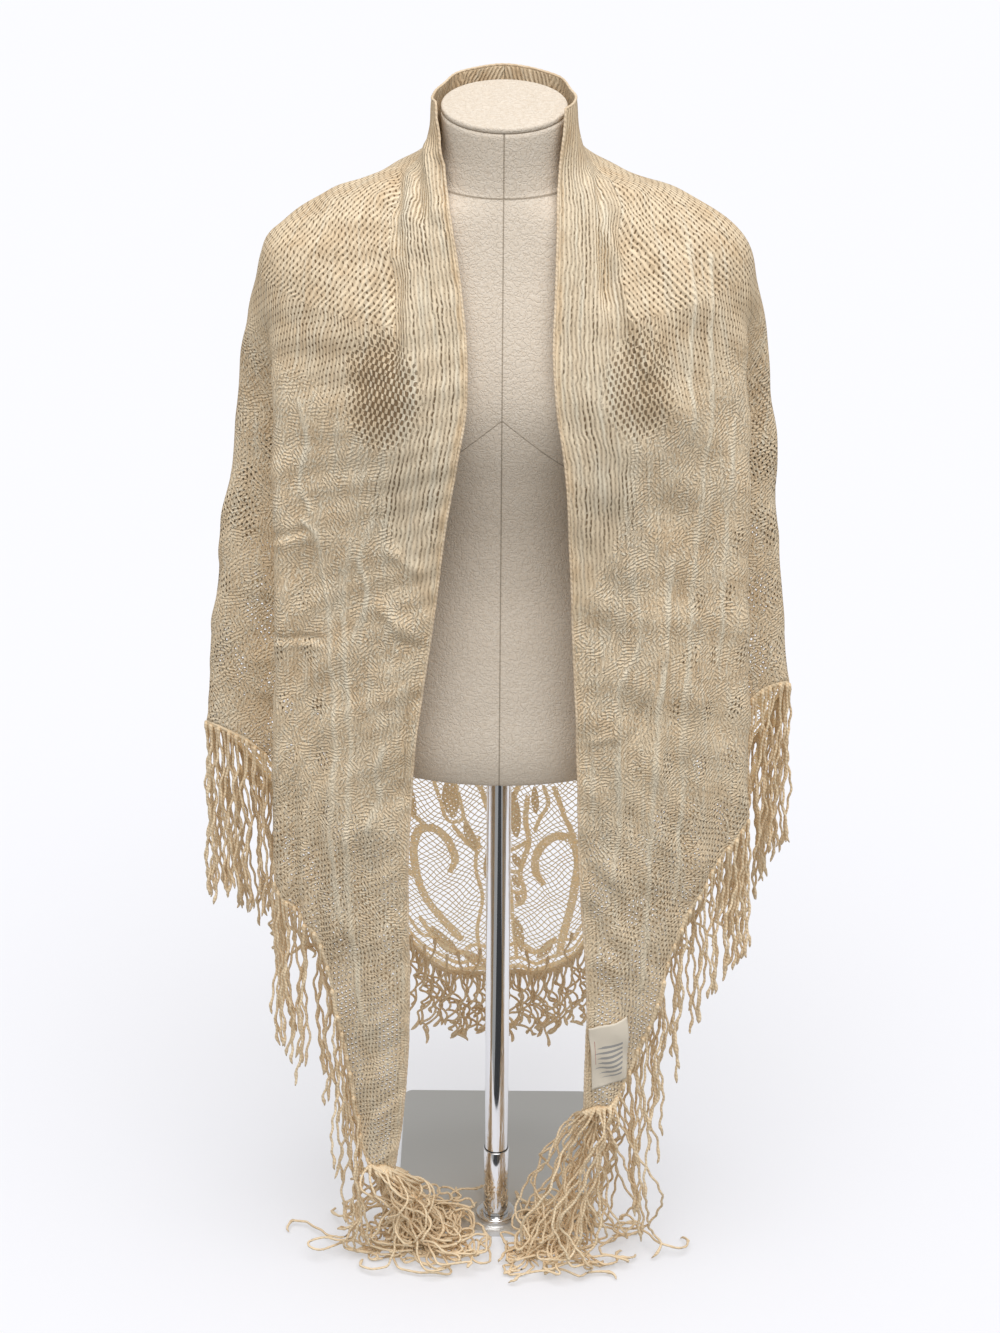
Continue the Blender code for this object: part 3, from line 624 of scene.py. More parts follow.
def crease_rise(points):
    """The short creases: each is a narrow ridge along a line in the front or the back view."""
    rise = np.zeros(points.shape[:-1])
    spot = points[..., [0, 2]]
    for side, x0, z0, x1, z1, height, half_width in CREASES:
        start, run = np.array([x0, z0]), np.array([x1 - x0, z1 - z0])
        along = (spot - start) @ run / (run @ run)
        near = start + np.clip(along, 0, 1)[..., None] * run
        gap = np.linalg.norm(spot - near, axis=-1)
        fade = ease((0.5 - np.abs(along - 0.5)) / 0.22 + 0.25)
        here = ease((side * points[..., 1] + 0.01) / CREASE_DEPTH)
        rise += height * fade * here * np.exp(-((gap / half_width) ** 2))
    return rise


pucker_draw = np.random.default_rng(7)
pucker_way = pucker_draw.uniform(0, math.pi, PUCKERS)
pucker_pitch = 2 * math.pi / pucker_draw.uniform(*PUCKER_LENGTH, PUCKERS)
pucker_phase = pucker_draw.uniform(0, 2 * math.pi, PUCKERS)


def pucker_rise(turn, drop):
    """Small uneven puckers: a sum of waves, most of them running down the cloth, weaker over the
    neck."""
    beside = turn * (0.12 + 0.75 * drop)
    waves = [
        np.sin((beside * math.cos(way) + 0.45 * drop * math.sin(way)) * pitch + phase)
        for way, pitch, phase in zip(pucker_way, pucker_pitch, pucker_phase)
    ]
    return PUCKER_RISE * sum(waves) * (0.35 + 0.65 * ease(drop / 0.5))


def edge_roll(turn, drop):
    """The rolled front edges: the last few millimetres of the cloth curl outwards, here and there."""
    near_edge = np.exp(-(((1 - np.abs(turn)) / ROLL_WIDE) ** 2))
    wave = 0.7 + 0.3 * np.sin(drop * 31 + np.sign(turn))
    return ROLL_RISE * near_edge * wave * ease(drop / 0.1)


def cloth(turn, drop):
    """The middle of the cloth: the plain drape, moved outwards by folds, creases and puckers."""
    turn, drop = np.broadcast_arrays(np.asarray(turn, float), np.asarray(drop, float))
    plain = plain_drape(turn, drop)
    rise = fold_rise(turn, drop) + pucker_rise(turn, drop) + edge_roll(turn, drop)
    rise += crease_rise(plain)
    return plain + rise[..., None] * facing(plain_drape, turn, drop)


# Lengths round the drape, measured once: around[i, k] is how far the cloth runs at the i-th drop
# from the middle of the back to the k-th turn, negative on the left.
HALF_TURNS = 200
HALVINGS = 22
ROUND_TURNS = np.linspace(-1, 1, 2 * HALF_TURNS + 1)
ROUND_DROPS = np.linspace(0, 1.21, 62)
round_points = cloth(ROUND_TURNS[None, :], ROUND_DROPS[:, None])
round_steps = np.linalg.norm(np.diff(round_points, axis=1), axis=-1)
around = np.pad(np.cumsum(round_steps, 1), ((0, 0), (1, 0)))
around -= around[:, HALF_TURNS, None]


def around_at(turn, drop):
    """How far the cloth runs from the middle of the back, read between the measured values."""
    i = np.clip(drop / ROUND_DROPS[1], 0, len(ROUND_DROPS) - 1.001)
    k = np.clip((turn + 1) * HALF_TURNS, 0, 2 * HALF_TURNS - 0.001)
    i0, k0 = i.astype(int), k.astype(int)
    down, beside = i - i0, k - k0
    upper = around[i0, k0] * (1 - beside) + around[i0, k0 + 1] * beside
    lower = around[i0 + 1, k0] * (1 - beside) + around[i0 + 1, k0 + 1] * beside
    return upper * (1 - down) + lower * down


def turn_at(run, drop):
    """The turn at which the cloth has run that far, found by halving an interval."""
    low, high = np.full(run.shape, -1.0), np.full(run.shape, 1.0)
    for _ in range(HALVINGS):
        middle = (low + high) / 2
        past = around_at(middle, drop) > run
        low, high = np.where(past, low, middle), np.where(past, middle, high)
    return (low + high) / 2


def front_gap(turn, drop):
    """How far along the cloth the nearer front edge is."""
    run = around_at(turn, drop)
    return np.abs(around_at(np.where(turn < 0, -1.0, 1.0), drop)) - np.abs(run)


def flat_place(turn, drop):
    """Where a point lies on the cloth laid flat: its way from the nearer front edge, which is the
    straight edge of the triangle, and its drop."""
    return np.stack([front_gap(turn, drop), drop + 0 * turn], -1)


# The knitted ground
# Fine ecru yarn, warp-knitted. Its wales run along the straight edge, so they fall down the fronts
# and slant over the shoulders, with rows of eyelets, windows of net over the bust, patches of
# slanting stitches and raised cords knitted in.

YARN = (0.970, 0.788, 0.555, 1.0)
YARN_PALE = (1.000, 0.900, 0.715, 1.0)
YARN_TAN = (0.760, 0.550, 0.335, 1.0)
# Painted shade in the knit's grooves, eyelets, dashes and net windows, and of the form in shadow behind
# them.
GAP_SHADE = (0.220, 0.140, 0.072, 1.0)
WALE = 0.0041  # from one wale to the next
COURSE = 0.0034  # half the way between two eyelets of one groove
NET_WALE = 0.0028
NET_COURSE = 0.0052
DASH = 0.0066  # from one dash to the next, down the lapels
SLANT = 0.61  # over the shoulders the wales lean by this angle
PATCH_WIDE = 0.0095
PATCH_HIGH = 0.0150
STITCH = 0.0032  # from one slanting stitch to the next
KINKS = 280  # to the metre, as all the numbers of noise are
DRIFTS = ((20, 0.005), (85, 0.0042))  # how many, how far the wales wander by them
DASH_COLUMNS = (290, 12)
STREAKS = (170, 13)
GLINT_SCALES = (460, 460, 300)
MOTTLES = 42
KNIT_RELIEF = 0.0012
CLOTH_THICK = 0.0014
WARM = (1.00, 0.80, 0.55, 1.0)  # the yarn's fuzz throws back warm light


def knit_finish(name):
    """Knitted yarn. Across the cloth a cosine is 0 on the ridge of each wale and 1 or -1 in its
    grooves; times one along the cloth it peaks at eyelets, staggered from groove to groove. Slanting
    stitches lie in cells, each with its own direction. Marks say where each kind of knit shows."""
    knit = Finish(name, {"Sheen Weight": 0.2, "Sheen Tint": WARM, "Specular IOR Level": 0.15})
    flat = knit.node("ShaderNodeUVMap", {"uv_map": "flat"})
    place = knit.place()
    kink = knit.noise(place, KINKS, 1.0) - 0.5
    slow, quick = ((knit.noise(place, many, 1.0) - 0.5) * far for many, far in DRIFTS)
    drift = slow + quick + kink * 0.0012
    across, along, _ = knit.split(flat)
    x, _, z = knit.split(place)
    open_, patch, cord, net, through, ladder, lean = (
        knit.node("ShaderNodeAttribute", {"attribute_name": mark}, output=2)
        for mark in ("open", "patch", "cord", "net", "through", "ladder", "lean")
    )

    # Where a point lies across and along the wales, which lean over the shoulders.
    lean = (lean > 0.5) * SLANT
    wale = across * lean.cosine() - along * (lean - math.pi / 2).cosine() + drift
    course = along * lean.cosine() + across * (lean - math.pi / 2).cosine() + kink * 0.0011

    # The grooves between the wales, the staggered eyelets in them and the windows of the net.
    netted = net.between(0.08, 0.30)
    column_at = (wale * (math.pi / WALE)).cosine()
    groove = abs(column_at).between(0.78, 1.0) * (1 - netted)
    peaks = column_at * (course * (math.pi / COURSE)).cosine()
    eyelet = (peaks + open_ * 0.7).between(0.90, 1.04) * abs(column_at).between(0.66, 0.86)
    crossings = (wale * (math.pi / NET_WALE)).cosine() * (course * (math.pi / NET_COURSE)).cosine()
    window = (crossings + net * 0.62).between(0.44, 0.66) * netted

    # Slanting stitches in cells, each with its own direction.
    cell = {"Vector": knit.stretched(place, (1 / PATCH_WIDE, 14, 1 / PATCH_HIGH)), "Scale": 1.0}
    draw, _, _ = knit.split(knit.node("ShaderNodeTexVoronoi", {}, cell, output=1))
    way = draw * 2.6 + 0.7
    slanting = z * way.cosine() + x * (way - math.pi / 2).cosine() + kink * 0.0034
    stitch = (slanting * (2 * math.pi / STITCH)).cosine() * 0.5 + 0.5

    # Dashes in some of the grooves, and streaks of paler wales.
    columns, streak = (
        knit.noise(knit.join(across * fine, along * long, (x > 0) * 5), 1.0, 1.0)
        for fine, long in (DASH_COLUMNS, STREAKS)
    )
    columns = columns.between(0.54, 0.60)
    dash = groove * columns * ((course * (2 * math.pi / DASH)).cosine() + 0.5 > kink * 3) * ladder

    # How high the knit is, how much painted shade lies in its grooves, between its slanting stitches, in
    # its eyelets, dashes and net windows and over the bust net, and how pale it is.
    ribs = 1 - column_at * column_at
    height = ribs + (stitch - ribs) * patch
    dark = groove * (ladder * 0.10 - patch * 0.34 - through * 0.10 + 0.38)
    dark = dark + (0.6 - stitch).between(0, 0.6) * patch * 0.32
    dark = (dark + eyelet * (0.8 - through * 0.5) + window * 0.78 + net * 0.18 + dash * 0.62).between(0, 1)
    mottle = knit.noise(place, MOTTLES, 3.0)
    # Painted glints: pale specks in the patches of slanting stitches. The lapels and the cords are painted
    # paler as painted highlight; the streaks are paler wales of the yarn itself.
    painted_glint = knit.noise(knit.stretched(place, GLINT_SCALES), 1.0, 1.0).between(0.55, 0.63)
    pale = (streak.between(0.50, 0.70) * 0.5 + ladder * 0.48 + cord * 0.64 + painted_glint * patch).between(0, 1)

    # The colours, with the painted shade and highlight, and the holes that go right through.
    colour = knit.mix(mottle.between(0.42, 0.64) * (0.60 - through * 0.25), YARN, YARN_TAN)
    colour = knit.mix(pale, colour, YARN_PALE)
    # Painted shade mixed in, less of it on the cords.
    colour = knit.mix(dark * (1 - cord * 0.7), colour, GAP_SHADE)
    cut = (eyelet + window > 0.5) * (through > 0.5) * (0.5 - cord > 0)
    knit.feed(base_color=colour, alpha=1 - cut, roughness=height * 0.12 + 0.74)
    knit.relief(height - eyelet * 0.5 - window * 0.6 - dash * 0.4 + painted_glint * patch * 0.4, KNIT_RELIEF)
    return knit


def near_line(run, drop, line):
    """How far each point is from a drawn line of (run, drop) points."""
    spot = np.stack([run, drop], -1)
    best = np.full(run.shape, 9.0)
    for start, end in zip(line[:-1], line[1:]):
        way = end - start
        share = np.clip((spot - start) @ way / (way @ way), 0, 1)
        best = np.minimum(best, np.linalg.norm(spot - start - share[..., None] * way, axis=-1))
    return best


def smooth_line(points, spacing=0.003):
    """A smooth curve through drawn points (Catmull-Rom), cut into even steps."""
    points = np.array(points, float)
    ends = np.concatenate([[2 * points[0] - points[1]], points, [2 * points[-1] - points[-2]]])
    t = np.linspace(0, 1, 12, endpoint=False)[:, None]
    pieces = [
        0.5 * (2 * b + (c - a) * t + (2 * a - 5 * b + 4 * c - d) * t**2 + (3 * b - a - 3 * c + d) * t**3)
        for a, b, c, d in zip(ends[:-3], ends[1:-2], ends[2:-1], ends[3:])
    ]
    fine = np.concatenate([*pieces, points[-1:]])
    length = np.concatenate([[0], np.cumsum(np.linalg.norm(np.diff(fine, axis=0), axis=1))])
    marks = np.linspace(0, length[-1], max(2, round(length[-1] / spacing)) + 1)
    return np.stack([np.interp(marks, length, fine[:, k]) for k in (0, 1)], -1)


CORD_HALF = 0.0025
FRONT_CORDS = {  # distance from the front edge, drop
    -1: (
        ((0.142, 0.434), (0.123, 0.440), (0.118, 0.470), (0.106, 0.504), (0.099, 0.538),
         (0.093, 0.590), (0.086, 0.640), (0.081, 0.690), (0.082, 0.748), (0.074, 0.840)),
        ((0.088, 0.426), (0.092, 0.490), (0.084, 0.530), (0.078, 0.582), (0.071, 0.632),
         (0.066, 0.690), (0.064, 0.766), (0.062, 0.850), (0.052, 0.960)),
        ((0.069, 0.396), (0.078, 0.442), (0.068, 0.470), (0.076, 0.528)),
        ((0.165, 0.322), (0.149, 0.354), (0.150, 0.396), (0.135, 0.420)),
        ((0.034, 0.622), (0.041, 0.654), (0.032, 0.682), (0.044, 0.722)),
    ),
    1: (
        ((0.180, 0.210), (0.168, 0.265), (0.157, 0.324), (0.140, 0.384), (0.135, 0.428),
         (0.127, 0.482), (0.120, 0.570), (0.115, 0.634), (0.112, 0.700), (0.101, 0.826)),
        ((0.102, 0.454), (0.098, 0.494), (0.088, 0.580), (0.082, 0.638), (0.078, 0.694),
         (0.074, 0.750), (0.069, 0.822), (0.058, 0.920)),
        ((0.058, 0.450), (0.064, 0.478), (0.067, 0.510), (0.061, 0.534), (0.044, 0.560),
         (0.043, 0.604), (0.040, 0.648), (0.042, 0.704), (0.032, 0.770)),
        ((0.156, 0.190), (0.148, 0.240), (0.137, 0.290), (0.128, 0.340)),
        ((0.182, 0.358), (0.171, 0.412), (0.166, 0.470), (0.163, 0.530), (0.160, 0.588)),
    ),
}
BUST_NET = (0.080, 0.272)  # distance from the front edge, drop
BUST_NET_HALF = (0.036, 0.048)
BUST_NET_RIGHT = 0.62  # the net on the right is closer than on the left
LAPEL_WIDE = 0.068
YOKE_DROPS = (0.04, 0.25)  # where the rows of eyelets over the shoulders begin and end
EYELET_BAND = 0.055
FEATHERS_HIGH = 0.40  # over the hem
LEANING_FROM = (0.074, 0.08, 0.215, 0.25)  # gap, then the gap, drop and slope of its lower line
PATCHES_FROM = 0.27  # drop below which there are slanting stitches
BACK_TURN = 0.62  # the back lies within this turn
SEEN_THROUGH = (0.42, 0.62)  # drops below which light shows through, behind and in front
EDGE_PLAIN = 0.006  # beside the selvedge nothing is open


def knit_marks(turn, drop):
    """What the knit does at each point: how open its eyelets and its net are, whether light shows
    through them, where patches and cords lie, and where ladders of dashes open between the wales."""
    gap, run = front_gap(turn, drop), around_at(turn, drop)
    to_hem = hem_drop(turn) - drop
    side = np.where(turn < 0, -1, 1)
    cord = np.zeros(turn.shape)
    for hand, lines in FRONT_CORDS.items():
        for line in lines:
            distance = near_line(gap, drop, smooth_line(line, 0.008))
            cord = np.maximum(cord, np.exp(-((distance / CORD_HALF) ** 2)) * (side == hand))
    wander = np.sin(run * 47 + drop * 31) * np.sin(drop * 53 - run * 23 + 1.3)

    # The nets over the bust, and over the shoulders bands of eyelets and leaning wales.
    apart = ((gap - BUST_NET[0]) / BUST_NET_HALF[0]) ** 2
    apart += ((drop - BUST_NET[1]) / BUST_NET_HALF[1]) ** 2
    net = np.exp(-(apart**2)) * np.where(turn < 0, 1.0, BUST_NET_RIGHT)
    bands = 0.5 + 0.5 * np.sin((gap + 0.9 * drop) * 2 * math.pi / EYELET_BAND)
    high = ease((drop - YOKE_DROPS[0]) / 0.05) * (1 - ease((drop - YOKE_DROPS[1]) / 0.09))
    lapel = 1 - ease((gap - LAPEL_WIDE) / 0.01)
    yoke = high * (1 - lapel) * (0.26 + 0.40 * bands) * (1 - net)
    lean_gap, line_gap, line_drop, line_slope = LEANING_FROM
    lean = (gap > lean_gap) & (drop < line_drop + line_slope * (gap - line_gap)) & (np.abs(turn) > 0.3)

    # Feathers of eyelets low on the fronts, and looser ones behind and towards the points.
    slant = np.sin((gap * 0.8 + drop) * 2 * math.pi / 0.085)
    slant *= np.sin((gap - drop * 0.35) * 2 * math.pi / 0.060)
    feathers = 1.10 * ease((slant - 0.42) / 0.5) * ease((FEATHERS_HIGH - to_hem) / 0.12)
    behind = ease((BACK_TURN - np.abs(turn)) / 0.04) * ease((drop - 0.28) / 0.1)
    flaps = behind * (0.10 + 0.60 * ease((wander - 0.25) / 0.4))
    tips = (0.50 + 0.45 * ease((wander + 0.15) / 0.4)) * ease((drop - 0.68) / 0.14)
    open_ = np.maximum.reduce([yoke, feathers, flaps, tips]) * (1 - cord)
    open_ = open_ * ease((gap - EDGE_PLAIN) / EDGE_PLAIN)

    # Slanting stitches below the yoke, beside the lapels and then over the whole width.
    edge = 0.050 - 0.068 * ease((drop - 0.36) / 0.16)
    patch = ease((gap - edge) / 0.02) * ease((drop - PATCHES_FROM) / 0.07) * (1 - net)
    patch *= (0.80 + 0.20 * wander) * (1 - 0.40 * ease((drop - 0.80) / 0.1))

    through = (drop > SEEN_THROUGH[0]) & ((np.abs(turn) < 0.66) | (drop > SEEN_THROUGH[1]))
    ladder = (0.25 + 0.75 * ease((0.085 - gap) / 0.03)) * ease((drop - 0.03) / 0.05) * (gap < 0.2)
    ladder *= (1 - 0.75 * ease((drop - 0.36) / 0.1)) * (gap > EDGE_PLAIN)
    return {
        "open": open_, "patch": patch, "cord": cord, "net": net,
        "lean": lean, "through": through, "ladder": ladder,
    }


CORD_RISE = 0.0017


def thicken(piece, thickness):
    """Gives a sheet its thickness, half to either side."""
    thick = piece.modifiers.new("thickness", "SOLIDIFY")
    thick.thickness, thick.offset = thickness, 0


def wall(name, turns, drops, finish, node):
    """A thin wall of cloth on a grid of turns and drops, with its cords raised. It stands for one
    node of the part."""
    marks = knit_marks(turns, drops)
    points = cloth(turns, drops)
    across, down = np.gradient(points, axis=1), np.gradient(points, axis=0)
    out = unit(np.cross(across, down))
    points = points + out * (CORD_RISE * marks["cord"])[..., None]
    faces = grid_faces(*turns.shape).tolist()
    piece = add_piece(name, points, faces, finish, flat_place(turns, drops), marks)
    thicken(piece, CLOTH_THICK)
    fasten(piece, "lace", node)
    return piece


TUCK_TURN = 0.622
TUCK_APART = 0.0006
FRONT_GRID = (320, 112)  # rows and columns of points
YOKE_GRID = (160, 210)
BAND = 0.004  # of cloth above the hem that the fringe's own band stands for
NET_DEPTH = 0.42
NET_HALF = 0.50
knit = knit_finish("lace_knit")


def net_top(turn):
    """Where the open net of the back begins: an arch over the point of the shawl."""
    share = np.clip(1 - (turn / NET_HALF) ** 2, 0, 1)
    return hem_drop(turn) - np.maximum(NET_DEPTH * np.sqrt(share), BAND)


def wall_grid(first, last, rows, columns, lower):
    """Turns and drops of a grid from the collar down to a lower line."""
    turns = np.linspace(first, last, columns)
    share = np.linspace(0, 1, rows)[:, None]
    return np.broadcast_to(turns, (rows, columns)), share * lower(turns)[None, :]


def hem_line(turn):
    """The lower edge of the walls."""
    return hem_drop(turn) - BAND


left_grid = wall_grid(-1, -TUCK_TURN - TUCK_APART, *FRONT_GRID, hem_line)
right_grid = wall_grid(TUCK_TURN + TUCK_APART, 1, *FRONT_GRID, hem_line)
back_grid = wall_grid(-TUCK_TURN, TUCK_TURN, *YOKE_GRID, net_top)
left_front, right_front, yoke = (
    wall(node + "_cloth", *grid, knit, node)
    for node, grid in (
        ("shawl_left_front", left_grid), ("shawl_right_front", right_grid), ("shawl_back", back_grid)
    )
)


# The open net of the back
# Below the arch the ground opens into a net of crossing yarns, knitted with the rest. Its pieces
# are laid out by run, the distance round the cloth from the middle of the back, and drop.

CELL_WIDE = 0.0085  # of one mesh of the net
CELL_HIGH = 0.0070
NET_YARN = 0.00062
NET_SLACK = 0.0021
NET_LIFT = 0.00045  # how far crossing yarns go over and under each other
NET_DROPS = (0.36, 1.09)
NET_LINES = (-110, 260)
NET_NODES = 130
NET_SHORT = 0.01  # in turn, that the net stops short of the ends of its arch
NET_UNDER = 0.004
NET_OVER_HEM = 0.003
YARN_CORNERS = (0, 2.094, 4.189)  # yarn so fine is drawn three-sided
PLY_SLANT = 0.6
HAIRS = 1400
YARN_PATCHES = 45
YARN_RELIEF = 0.0005


def on_back(run, drop):
    """The middle of the cloth and its outward direction at a run and a drop."""
    turn = turn_at(run, drop)
    return cloth(turn, drop), facing(cloth, turn, drop)


def tubes(paths, radii, side_count, level):
    """Points of round yarns: a ring of side_count points is carried along each path, its
    first point towards level as nearly as the yarn's own direction lets it."""
    ahead = unit(np.gradient(paths, axis=1))
    level = unit(level - ahead * np.sum(level * ahead, -1, keepdims=True))
    beside = np.cross(ahead, level)
    spoke = np.arange(side_count) * 2 * math.pi / side_count
    ring = np.cos(spoke)[:, None] * level[..., None, :] + np.sin(spoke)[:, None] * beside[..., None, :]
    return paths[..., None, :] + ring * radii[..., None, None]


def tube_faces(first_points, rows, side_count):
    """Faces of yarns whose first points are given: their walls and both their ends."""
    walls = grid_faces(rows, side_count, closed=True)
    ends = np.arange(side_count)
    faces = (walls[None] + first_points[:, None, None]).reshape(-1, 4).tolist()
    for first in first_points.tolist():
        faces.append((first + ends[::-1]).tolist())
        faces.append((first + (rows - 1) * side_count + ends).tolist())
    return faces


def yarn_finish(name, yarn, dark, twist):
    """Twisted yarn: slanting plies with painted shade between them, and soft patches that are paler or
    darker.
    """
    fuzz = {"Sheen Weight": 0.2, "Sheen Tint": WARM}
    finish = Finish(name, {"Roughness": 0.8, "Specular IOR Level": 0.25} | fuzz)
    place = finish.place()
    patches = finish.noise(place, YARN_PATCHES, 2.0)
    x, y, z = finish.split(place)
    plies = ((z + (x + y) * PLY_SLANT) * (2 * math.pi / twist)).cosine() * 0.5 + 0.5
    hairs = finish.noise(place, HAIRS, 1.0)
    # Painted shade between the plies, over soft patches of paler or darker yarn.
    share = patches.between(0.35, 0.7) * 0.6 + (1 - plies) * 0.30
    finish.feed(base_color=finish.mix(share.between(0, 1), yarn, dark))
    finish.relief(plies * 0.7 + hairs * 0.5, YARN_RELIEF)
    return finish


def in_net(run, drop):
    """Whether a place lies in the net, between its arch and the hem."""
    turn = turn_at(run, drop)
    wide = np.abs(turn) < NET_HALF - NET_SHORT
    return wide & (drop > net_top(turn) - NET_UNDER) & (drop < hem_drop(turn) - NET_OVER_HEM)


# The net's yarn is painted paler than the knit's for the light shining through it from behind.
net_yarn = yarn_finish("net_yarn", (1.0, 0.92, 0.74, 1), (0.95, 0.80, 0.56, 1), 0.004)
net_yarn.shader.inputs["Emission Color"].default_value = (0.95, 0.72, 0.45, 1)
net_yarn.shader.inputs["Emission Strength"].default_value = 0.15  # light through it from behind
net_points, net_faces, net_count = [], [], 0
corners = len(YARN_CORNERS)
node = np.arange(-NET_NODES, NET_NODES + 1)
for lean in (1, -1):
    # Each row is one yarn and each column one crossing; slack moves the crossings a little.
    line, step = np.meshgrid(np.arange(*NET_LINES), node, indexing="ij")
    run = step * CELL_WIDE / 2
    drop = (line + lean * step / 2) * CELL_HIGH
    near = (drop > NET_DROPS[0]) & (drop < NET_DROPS[1])
    keep = near.any(1)
    run, drop, step, near = run[keep], drop[keep], step[keep], near[keep]
    loose_run = np.sin(run * 130 + drop * 61) + np.sin(drop * 170 - run * 40 + 2)
    loose_drop = np.sin(drop * 140 + run * 77 + 1) + np.sin(run * 160 - drop * 50)
    run, drop = run + NET_SLACK * loose_run * 0.6, drop + NET_SLACK * loose_drop * 0.6
    inside = np.zeros(run.shape, bool)
    inside[near] = in_net(run[near], drop[near])
    # The cloth is worked out at the crossings inside and at those next to them, for the direction.
    used = inside.copy()
    used[:, 1:] |= inside[:, :-1]
    used[:, :-1] |= inside[:, 1:]
    middle, out = np.zeros((*run.shape, 3)), np.zeros((*run.shape, 3))
    middle[..., 0], middle[..., 2] = run, -drop
    out[..., 1] = 1
    middle[used], out[used] = on_back(run[used], drop[used])
    middle = middle + out * (NET_LIFT * lean * (-1.0) ** step)[..., None]
    ahead = np.zeros_like(middle)
    ahead[:, :-1] += middle[:, 1:] - middle[:, :-1]
    ahead = unit(ahead)
    beside = unit(np.cross(ahead, out))
    rings = np.stack(
        [middle + (out * math.cos(a) + beside * math.sin(a)) * NET_YARN for a in YARN_CORNERS], 2
    )
    # A yarn has a wall wherever two crossings in a row lie inside, and an end where such a row stops.
    joined = inside[:, :-1] & inside[:, 1:]
    number = np.full(run.shape, -1)
    wanted = np.zeros(run.shape, bool)
    wanted[:, :-1] |= joined
    wanted[:, 1:] |= joined
    number[wanted] = net_count + corners * np.arange(wanted.sum())
    net_points.append(rings[wanted].reshape(-1, 3))
    here, there = number[:, :-1][joined], number[:, 1:][joined]
    for a in range(corners):
        b = (a + 1) % corners
        net_faces += np.stack([here + b, here + a, there + a, there + b], -1).tolist()
    starts = joined & ~np.pad(joined, ((0, 0), (1, 0)))[:, :-1]
    stops = joined & ~np.pad(joined, ((0, 0), (0, 1)))[:, 1:]
    first, last = number[:, :-1][starts], number[:, 1:][stops]
    net_faces += np.stack([first, first + 1, first + 2], -1).tolist()
    net_faces += np.stack([last + 2, last + 1, last], -1).tolist()
    net_count += corners * int(wanted.sum())
net = add_piece("lace_net_back", np.concatenate(net_points), net_faces, net_yarn)
fasten(net, "lace", "shawl_back")


# Tapes, stems and petals of the lace
# Close-knitted tapes draw scrolls, a leafed stem and scallops over the net, and petals of the solid
# ground fill the places between them. They repeat, smaller, along both short edges.

TAPE_THICK = 0.0016
TAPE_LIFT = 0.0004
TAPE_LAYER = 0.00008  # tapes that cross lie this far over each other
TAPE_LAYERS = 5
PETAL_LIFT = 0.0002
PETAL_THICK = 0.0010
PETAL_GRID = (20, 7)
TAPES = {  # half width at its widest, run away from the middle and drop of its points
    -1: (
        (0.0048, ((0.057, 0.932), (0.050, 0.918), (0.054, 0.902), (0.062, 0.886), (0.076, 0.874),
                  (0.091, 0.878), (0.098, 0.896), (0.098, 0.916), (0.095, 0.936), (0.090, 0.954),
                  (0.082, 0.970), (0.070, 0.986), (0.057, 1.002), (0.043, 1.020))),
        (0.0023, ((0.077, 0.812), (0.067, 0.842), (0.062, 0.860), (0.053, 0.868), (0.041, 0.865),
                  (0.043, 0.848), (0.050, 0.820))),
        (0.0024, ((0.053, 0.872), (0.038, 0.894), (0.022, 0.912))),
        (0.0022, ((0.041, 0.862), (0.030, 0.886), (0.020, 0.906))),
        (0.0032, ((0.124, 0.830), (0.113, 0.846), (0.100, 0.862), (0.085, 0.870))),
        (0.0030, ((0.092, 0.992), (0.078, 1.014), (0.057, 1.032), (0.034, 1.040))),
        (0.0022, ((0.022, 0.890), (0.026, 0.930), (0.018, 0.970), (0.024, 1.010), (0.020, 1.050))),
    ),
    1: (
        (0.0052, ((0.054, 0.948), (0.045, 0.936), (0.043, 0.918), (0.049, 0.902), (0.060, 0.889),
                  (0.073, 0.884), (0.086, 0.888), (0.093, 0.904), (0.095, 0.922), (0.092, 0.944),
                  (0.089, 0.964), (0.084, 0.986), (0.079, 1.010), (0.076, 1.034))),
        (0.0022, ((0.011, 0.905), (0.010, 0.936), (0.014, 0.962), (0.016, 0.994), (0.019, 1.026),
                  (0.022, 1.052))),
        (0.0032, ((0.032, 0.838), (0.030, 0.870), (0.034, 0.898), (0.029, 0.922), (0.025, 0.940),
                  (0.030, 0.958), (0.028, 0.974), (0.019, 0.982))),
        (0.0026, ((0.011, 0.913), (0.021, 0.907), (0.033, 0.898))),
        (0.0026, ((0.011, 0.938), (0.018, 0.939), (0.027, 0.937))),
        (0.0026, ((0.014, 0.963), (0.022, 0.965), (0.030, 0.960))),
        (0.0024, ((0.050, 0.824), (0.056, 0.846), (0.047, 0.864), (0.040, 0.884))),
        (0.0034, ((0.062, 0.824), (0.074, 0.856), (0.083, 0.872), (0.089, 0.886))),
        (0.0030, ((0.020, 1.022), (0.037, 1.038), (0.055, 1.032), (0.070, 1.014))),
    ),
}
OUTER_TAPES = (  # the same, further up and further out, alike on both sides
    (0.0030, ((0.012, 0.860), (0.020, 0.832), (0.034, 0.810), (0.052, 0.800), (0.066, 0.784),
              (0.074, 0.764), (0.072, 0.742))),
    (0.0030, ((0.010, 0.820), (0.024, 0.798), (0.030, 0.776), (0.044, 0.762), (0.050, 0.742))),
    (0.0036, ((0.106, 0.872), (0.116, 0.852), (0.134, 0.846), (0.148, 0.858), (0.150, 0.878),
              (0.140, 0.892), (0.128, 0.888))),
    (0.0040, ((0.098, 0.940), (0.110, 0.930), (0.124, 0.912), (0.130, 0.900))),
    (0.0034, ((0.000, 0.716), (0.022, 0.706), (0.046, 0.708), (0.066, 0.722), (0.074, 0.744))),
    (0.0030, ((0.086, 0.800), (0.106, 0.786), (0.122, 0.764), (0.126, 0.736), (0.118, 0.712))),
)
STEM = tuple((0.0065 * math.sin(k * 1.15), 0.705 + 0.031 * k) for k in range(12))
STEM_HALF = 0.0026
ARCH_HALF = 0.0045
